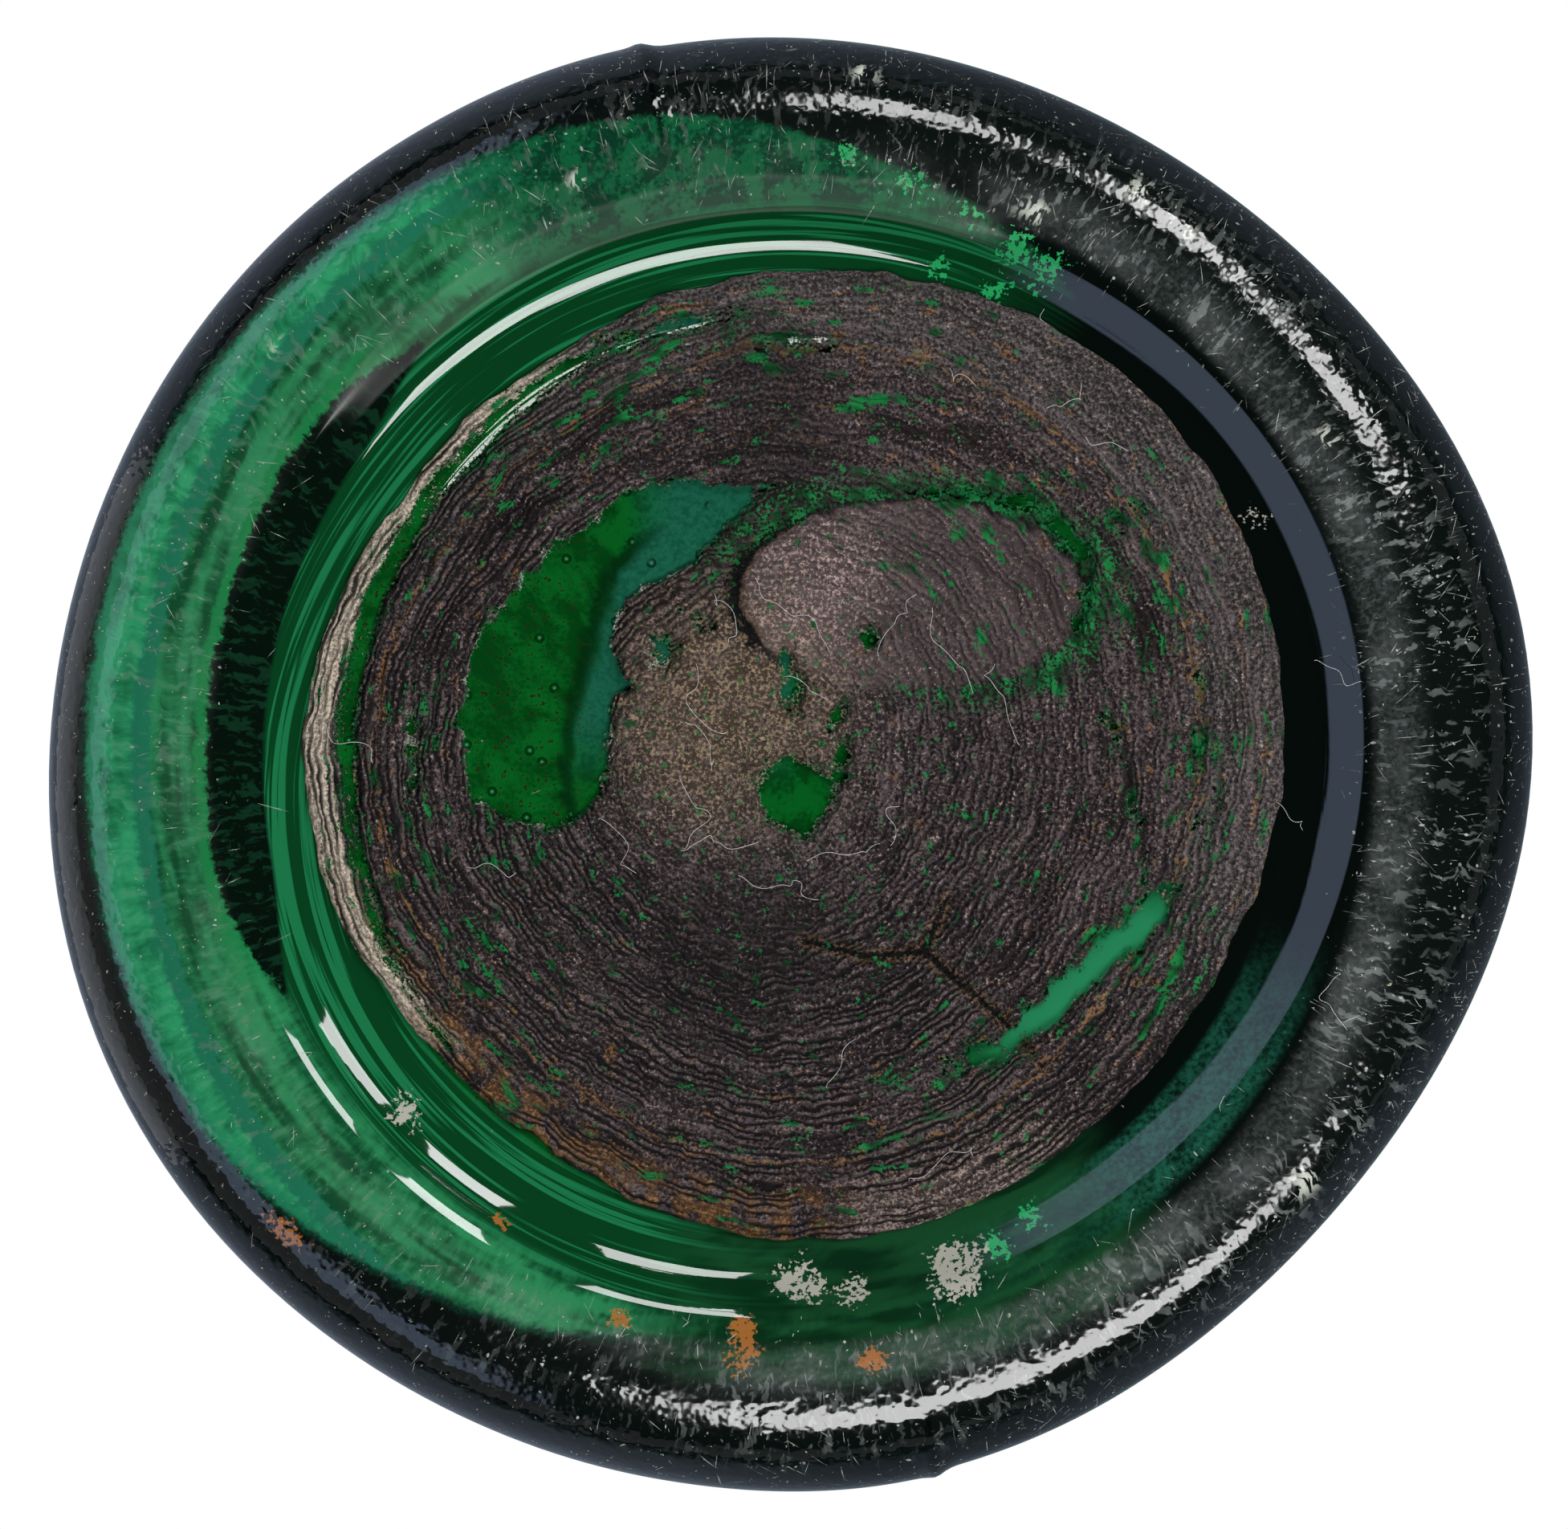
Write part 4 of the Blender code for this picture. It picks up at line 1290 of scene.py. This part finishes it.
# Painted shade in the grooves, strongest at the left and bottom, where the crust is in shade; the
# same factor scales the height of the wrinkle bump
depth_and_shade = (px * -0.6 + py * 0.5 + 6.0).step(-6.0, 8.0) * 0.6 + 0.4
depth_and_shade = depth_and_shade * (ripple.step(4.0, 9.5) * 0.75 + 0.25)
grooves = wave.step(0.05, 0.75) * (0.3 + 0.7 * rusty.step(0.4, 0.54)) * depth_and_shade
grooves = grooves * (1.0 - 0.5 * lobe)
print("wrinkles:", len(bench.tree.nodes), "nodes")

# %% Colours of the crust
# Tones of the scale and its rust, and colours of painted glints, sheen, highlights and shade
SCALE_TONES = (0.013, 0.009, 0.0095), (0.092, 0.069, 0.072)
DARK_RING, LIT_GREY_RIM, LOBE_GREY = (0.009, 0.005, 0.005), (0.096, 0.088, 0.086), (0.088, 0.064, 0.066)
GLINT_LIGHT, RUST_STAIN, RUST_LINE = (0.38, 0.3, 0.26), (0.15, 0.072, 0.026), (0.19, 0.09, 0.026)
RIM_RUST, GOLDEN_RIM, GOLDEN_SHEEN = (0.2, 0.105, 0.04), (0.24, 0.11, 0.022), (0.26, 0.185, 0.105)
PINK_SHEEN, PALE_SHEEN, CREAM_AND_LIT = (0.4, 0.29, 0.27), (0.33, 0.25, 0.215), (0.5, 0.425, 0.34)
GROOVE_SHADE, CRACK_AND_FOLD_SHADE = (0.001, 0.0008, 0.0008), (0.0012, 0.0012, 0.0012)
SHADOW, CRACK_RUST = (0.004, 0.0033, 0.0033), (0.12, 0.068, 0.028)
GREEN_EDGE_LIGHT, EDGE_HIGHLIGHT = (0.004, 0.12, 0.036), (0.45, 0.5, 0.42)
FLECK_GREEN = (0.0006, 0.045, 0.009), (0.006, 0.15, 0.036)


def grainy(share, low, high):
    """A share everywhere, and the rest only on the grains."""
    return share + (1.0 - share) * grain.step(low, high)


# Rust, along some of the rings and at the rim
rust_patch = rusty.step(0.6, 0.68) * coarse.step(0.46, 0.6) * grain.step(0.42, 0.55)
rust_lines = abs(broad - 0.5).step(0.022, 0.006) * grain.step(0.44, 0.54)
rust_lines = rust_lines * ripple.step(12.0, 15.0) * coarse.step(0.5, 0.58)
rim_line = abs(ripple + crinkling * 2.0 - 17.7).step(0.16, 0.03)
rim_line = rim_line * (grain * 0.6 + coarse * 0.4).step(0.42, 0.54)
golden_rim = ripple.step(18.3, 19.6) * coarse.step(0.42, 0.54)
golden_rim = golden_rim * py.step(2.0, 8.0) * px.step(4.0, 0.0)
# Where the light is, painted in: a grey sheen at the upper right, a pale sheen at the rim below,
# and a cream rim on the left that is lighter in colour and also painted as lit
lumpy = (grain * 0.8 + broad * 0.3 + rusty * 0.2 - 0.15).step(0.42, 0.6)
upper_right = (px * 0.5 - py).step(-6.0, 6.0)
dark_ring = broad.step(0.46, 0.34) * ripple.step(10.0, 13.0) * upper_right
lit_grey_rim = ripple.step(16.5, 18.5) * upper_right * (0.1 + 0.6 * grain.step(0.42, 0.6))
pale_sheen_rim = (pale * ripple.step(17.4, 20.0)).clamp()
cream_lit_rim = (ripple + crinkling * 0.5).step(19.45, 19.75) * px.step(-8.5, -12.0) * py.step(13.5, 9.5)
cracked = (crack_far + fine_grain * 0.35).step(0.14, 0.02)
crack_rust = crack_far.step(0.45, 0.15) * grain.step(0.46, 0.56)
# Green glass in slits between the rings and over the dimple; at the edges of the bare patches,
# painted green light and painted highlights
to_patch = bare_far + fine_grain * 0.9
patch = to_patch.step(-0.02, 0.03)
slits = bench.noise(bench.join(ripple * 2.0, across * 11.0, upward * 11.0), 1.0, 3.0, 0.55)
fleck = (slits + fine_grain * 0.55 + flecked.clamp() * 0.085).step(0.655, 0.67)
over_lobe = lobe_far.step(0.99, 1.04) * lobe_far.step(1.42, 1.05) * (px * 0.6 - py).step(4.0, 10.0)
lobe_fleck = (grain + over_lobe * 0.14 + (slits - 0.5) * 0.4).step(0.61, 0.63)
fleck = (fleck + lobe_fleck * over_lobe.step(0.02, 0.12)).clamp()
lit_green_edge = to_patch.step(0.1, 0.04) * coarse.step(0.4, 0.5)
edge_highlight_mask = to_patch.step(0.09, 0.04) * crinkle.step(0.52, 0.58)
edge_highlight_mask = edge_highlight_mask * px.step(-4.0, -6.0) * ripple.step(18.6, 17.8)

# The scale's tones and rust, with painted sheen, glints, highlights and shade laid over them
colour = bench.lay(
    bench.mix(lumpy, *SCALE_TONES),
    (dark_ring * 0.8, DARK_RING),
    (lit_grey_rim, LIT_GREY_RIM),
    (lobe * 0.4, LOBE_GREY),
    (painted_glint * (0.35 + 0.65 * coarse.step(0.45, 0.6)) * 0.85, GLINT_LIGHT),
    (rust_patch * 0.5, RUST_STAIN),
    (rust_lines * 0.8, RUST_LINE),
    (rim_line * 0.75, RIM_RUST),
    (golden_rim * grainy(0.3, 0.5, 0.62) * 0.8, GOLDEN_RIM),
    (golden_sheen.clamp() * grainy(0.15, 0.5, 0.62) * 0.8, GOLDEN_SHEEN),
    (pink_sheen.clamp() * lobe * grainy(0.12, 0.51, 0.62) * 0.85, PINK_SHEEN),
    (pale_sheen_rim * grainy(0.15, 0.48, 0.6) * 0.7, PALE_SHEEN),
    (cream_lit_rim * grainy(0.45, 0.44, 0.56), CREAM_AND_LIT),
    # Painted shade in the wrinkle grooves
    (grooves * 0.95, GROOVE_SHADE),
    (shadow.clamp() * 0.5, SHADOW),
    (crack_rust * 0.6, CRACK_RUST),
    # Dark cracks, and painted shade in the dimple's fold
    (cracked.math("MAXIMUM", lobe_fold_shade), CRACK_AND_FOLD_SHADE),
    (fleck * patch, bench.mix(coarse.step(0.42, 0.56), *FLECK_GREEN)),
    (lit_green_edge * 0.7, GREEN_EDGE_LIGHT),
    (edge_highlight_mask * 0.8, EDGE_HIGHLIGHT),
)
print("with the colours:", len(bench.tree.nodes), "nodes")

# %% Crust
GRAIN_HEIGHT, WRINKLE_HEIGHT, RING_HEIGHT, PATCH_HEIGHT = 0.0001, 0.0001, 0.00012, 0.00018

relief = grain * GRAIN_HEIGHT - wave * depth_and_shade * WRINKLE_HEIGHT + broad * RING_HEIGHT
relief = relief + bare_far.step(0.0, 0.3) * PATCH_HEIGHT
normal = bench.add("ShaderNodeBump", {**bump, "Height": relief})
wear(bench, principled(bench, colour, 0.75 - 0.35 * painted_glint, IOR=1.45, Specular_IOR_Level=0.15,
                       Alpha=patch, Normal=normal))
crust_mesh.materials.append(iron)
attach(crust, "root")
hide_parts("iron_scale")
print("crust nodes:", len(bench.tree.nodes))

# %% [markdown]
# ## Lint
# White fibres have caught on the rough scale. Each is a line that noise bends into a curl, given a
# thickness with a four-sided profile, and laid at places read off the photograph.

# %% Places of the lint
LINT = ((-3.0, -6.3), (-0.4, -6.6), (4.6, -5.7), (7.2, -5.0), (9.3, -2.9), (-4.0, -2.3),
        (-3.6, -0.5), (0.7, -3.4), (-3.0, 3.6), (-7.2, 3.2), (2.2, 4.3), (4.6, 2.6),
        (12.1, -15.9), (13.9, -13.6), (11.1, -19.0), (-19.5, -0.7), (21.5, 2.2), (23.9, -3.6),
        (23.4, 10.2), (18.7, 15.5), (6.6, 17.6), (-13.4, 4.6), (-4.3, 2.5), (1.9, 13.4),
        (7.5, -16.4), (-0.2, 5.4))
OFF_CRUST, OFF_GLASS = CRUST_DEPTH + 0.3, 0.12
HALF_THREAD = 0.0014

lint_x, lint_y = np.array(LINT).T
lint_r = np.hypot(lint_x, lint_y)
lint_z = push_up(lint_r) - np.where(lint_r < 21.0, OFF_CRUST, OFF_GLASS)
lint_source = point_mesh("lint_places", np.stack([lint_x, lint_y, lint_z], 1))
fibre, bench = new_material("lint")
white = bench.noise(millimetres(bench), 2.0, 1.0, 0.5)
wear(bench, principled(bench, bench.mix(white, (0.35, 0.36, 0.37), (0.8, 0.8, 0.78)), 0.7))
print("fibres:", len(LINT))

# %% Curling the lint
curling, bench, given = new_group("curl_lint", {
    "Shortest": 0.6, "Longest": 1.4, "Curl": 0.0032, "Thickness": 0.000009, "Coat": None})
ends = {"Start": (-HALF_THREAD, 0.0, 0.0), "End": (HALF_THREAD, 0.0, 0.0)}
thread = bench.add("GeometryNodeCurvePrimitiveLine", ends)
thread = bench.add("GeometryNodeResampleCurve", {"Curve": thread, "Count": 36})
turn = bench.join(0.0, 0.0, between(bench, 0.0, math.tau, 4))
stretch = between(bench, given["Shortest"], given["Longest"], 5)
seats = bench.add("GeometryNodeMeshToPoints", {"Mesh": given["Geometry"]})
threads = bench.add("GeometryNodeInstanceOnPoints", {
    "Points": seats, "Instance": thread, "Rotation": turn, "Scale": stretch})
threads = bench.add("GeometryNodeRealizeInstances", {"Geometry": threads})
# The curl is nearly flat, because the fibres lie on the scale
reach = bench.join(given["Curl"], given["Curl"], given["Curl"] * 0.08)
threads = move(bench, threads, Offset=bench.vector("MULTIPLY", curl(bench, 620.0), reach))
profile = {"Resolution": 4, "Radius": given["Thickness"]}
profile = bench.add("GeometryNodeCurvePrimitiveCircle", profile)
threads = bench.add("GeometryNodeCurveToMesh", {
    "Curve": threads, "Profile Curve": profile, "Fill Caps": True})
end_group(bench, threads, given["Coat"])
lint = run_group(lint_source, curling, "lint", {"Coat": fibre})
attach(lint, "root")
print("lint:", len(lint.data.polygons), "faces")

# %% [markdown]
# ## Boxes
# The boxes of the CAD model and of the finished pieces are printed side by side.

# %% Finish
size = {"cad": cad_box, "scene": [list(corner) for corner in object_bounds()]}
print("size:", size)
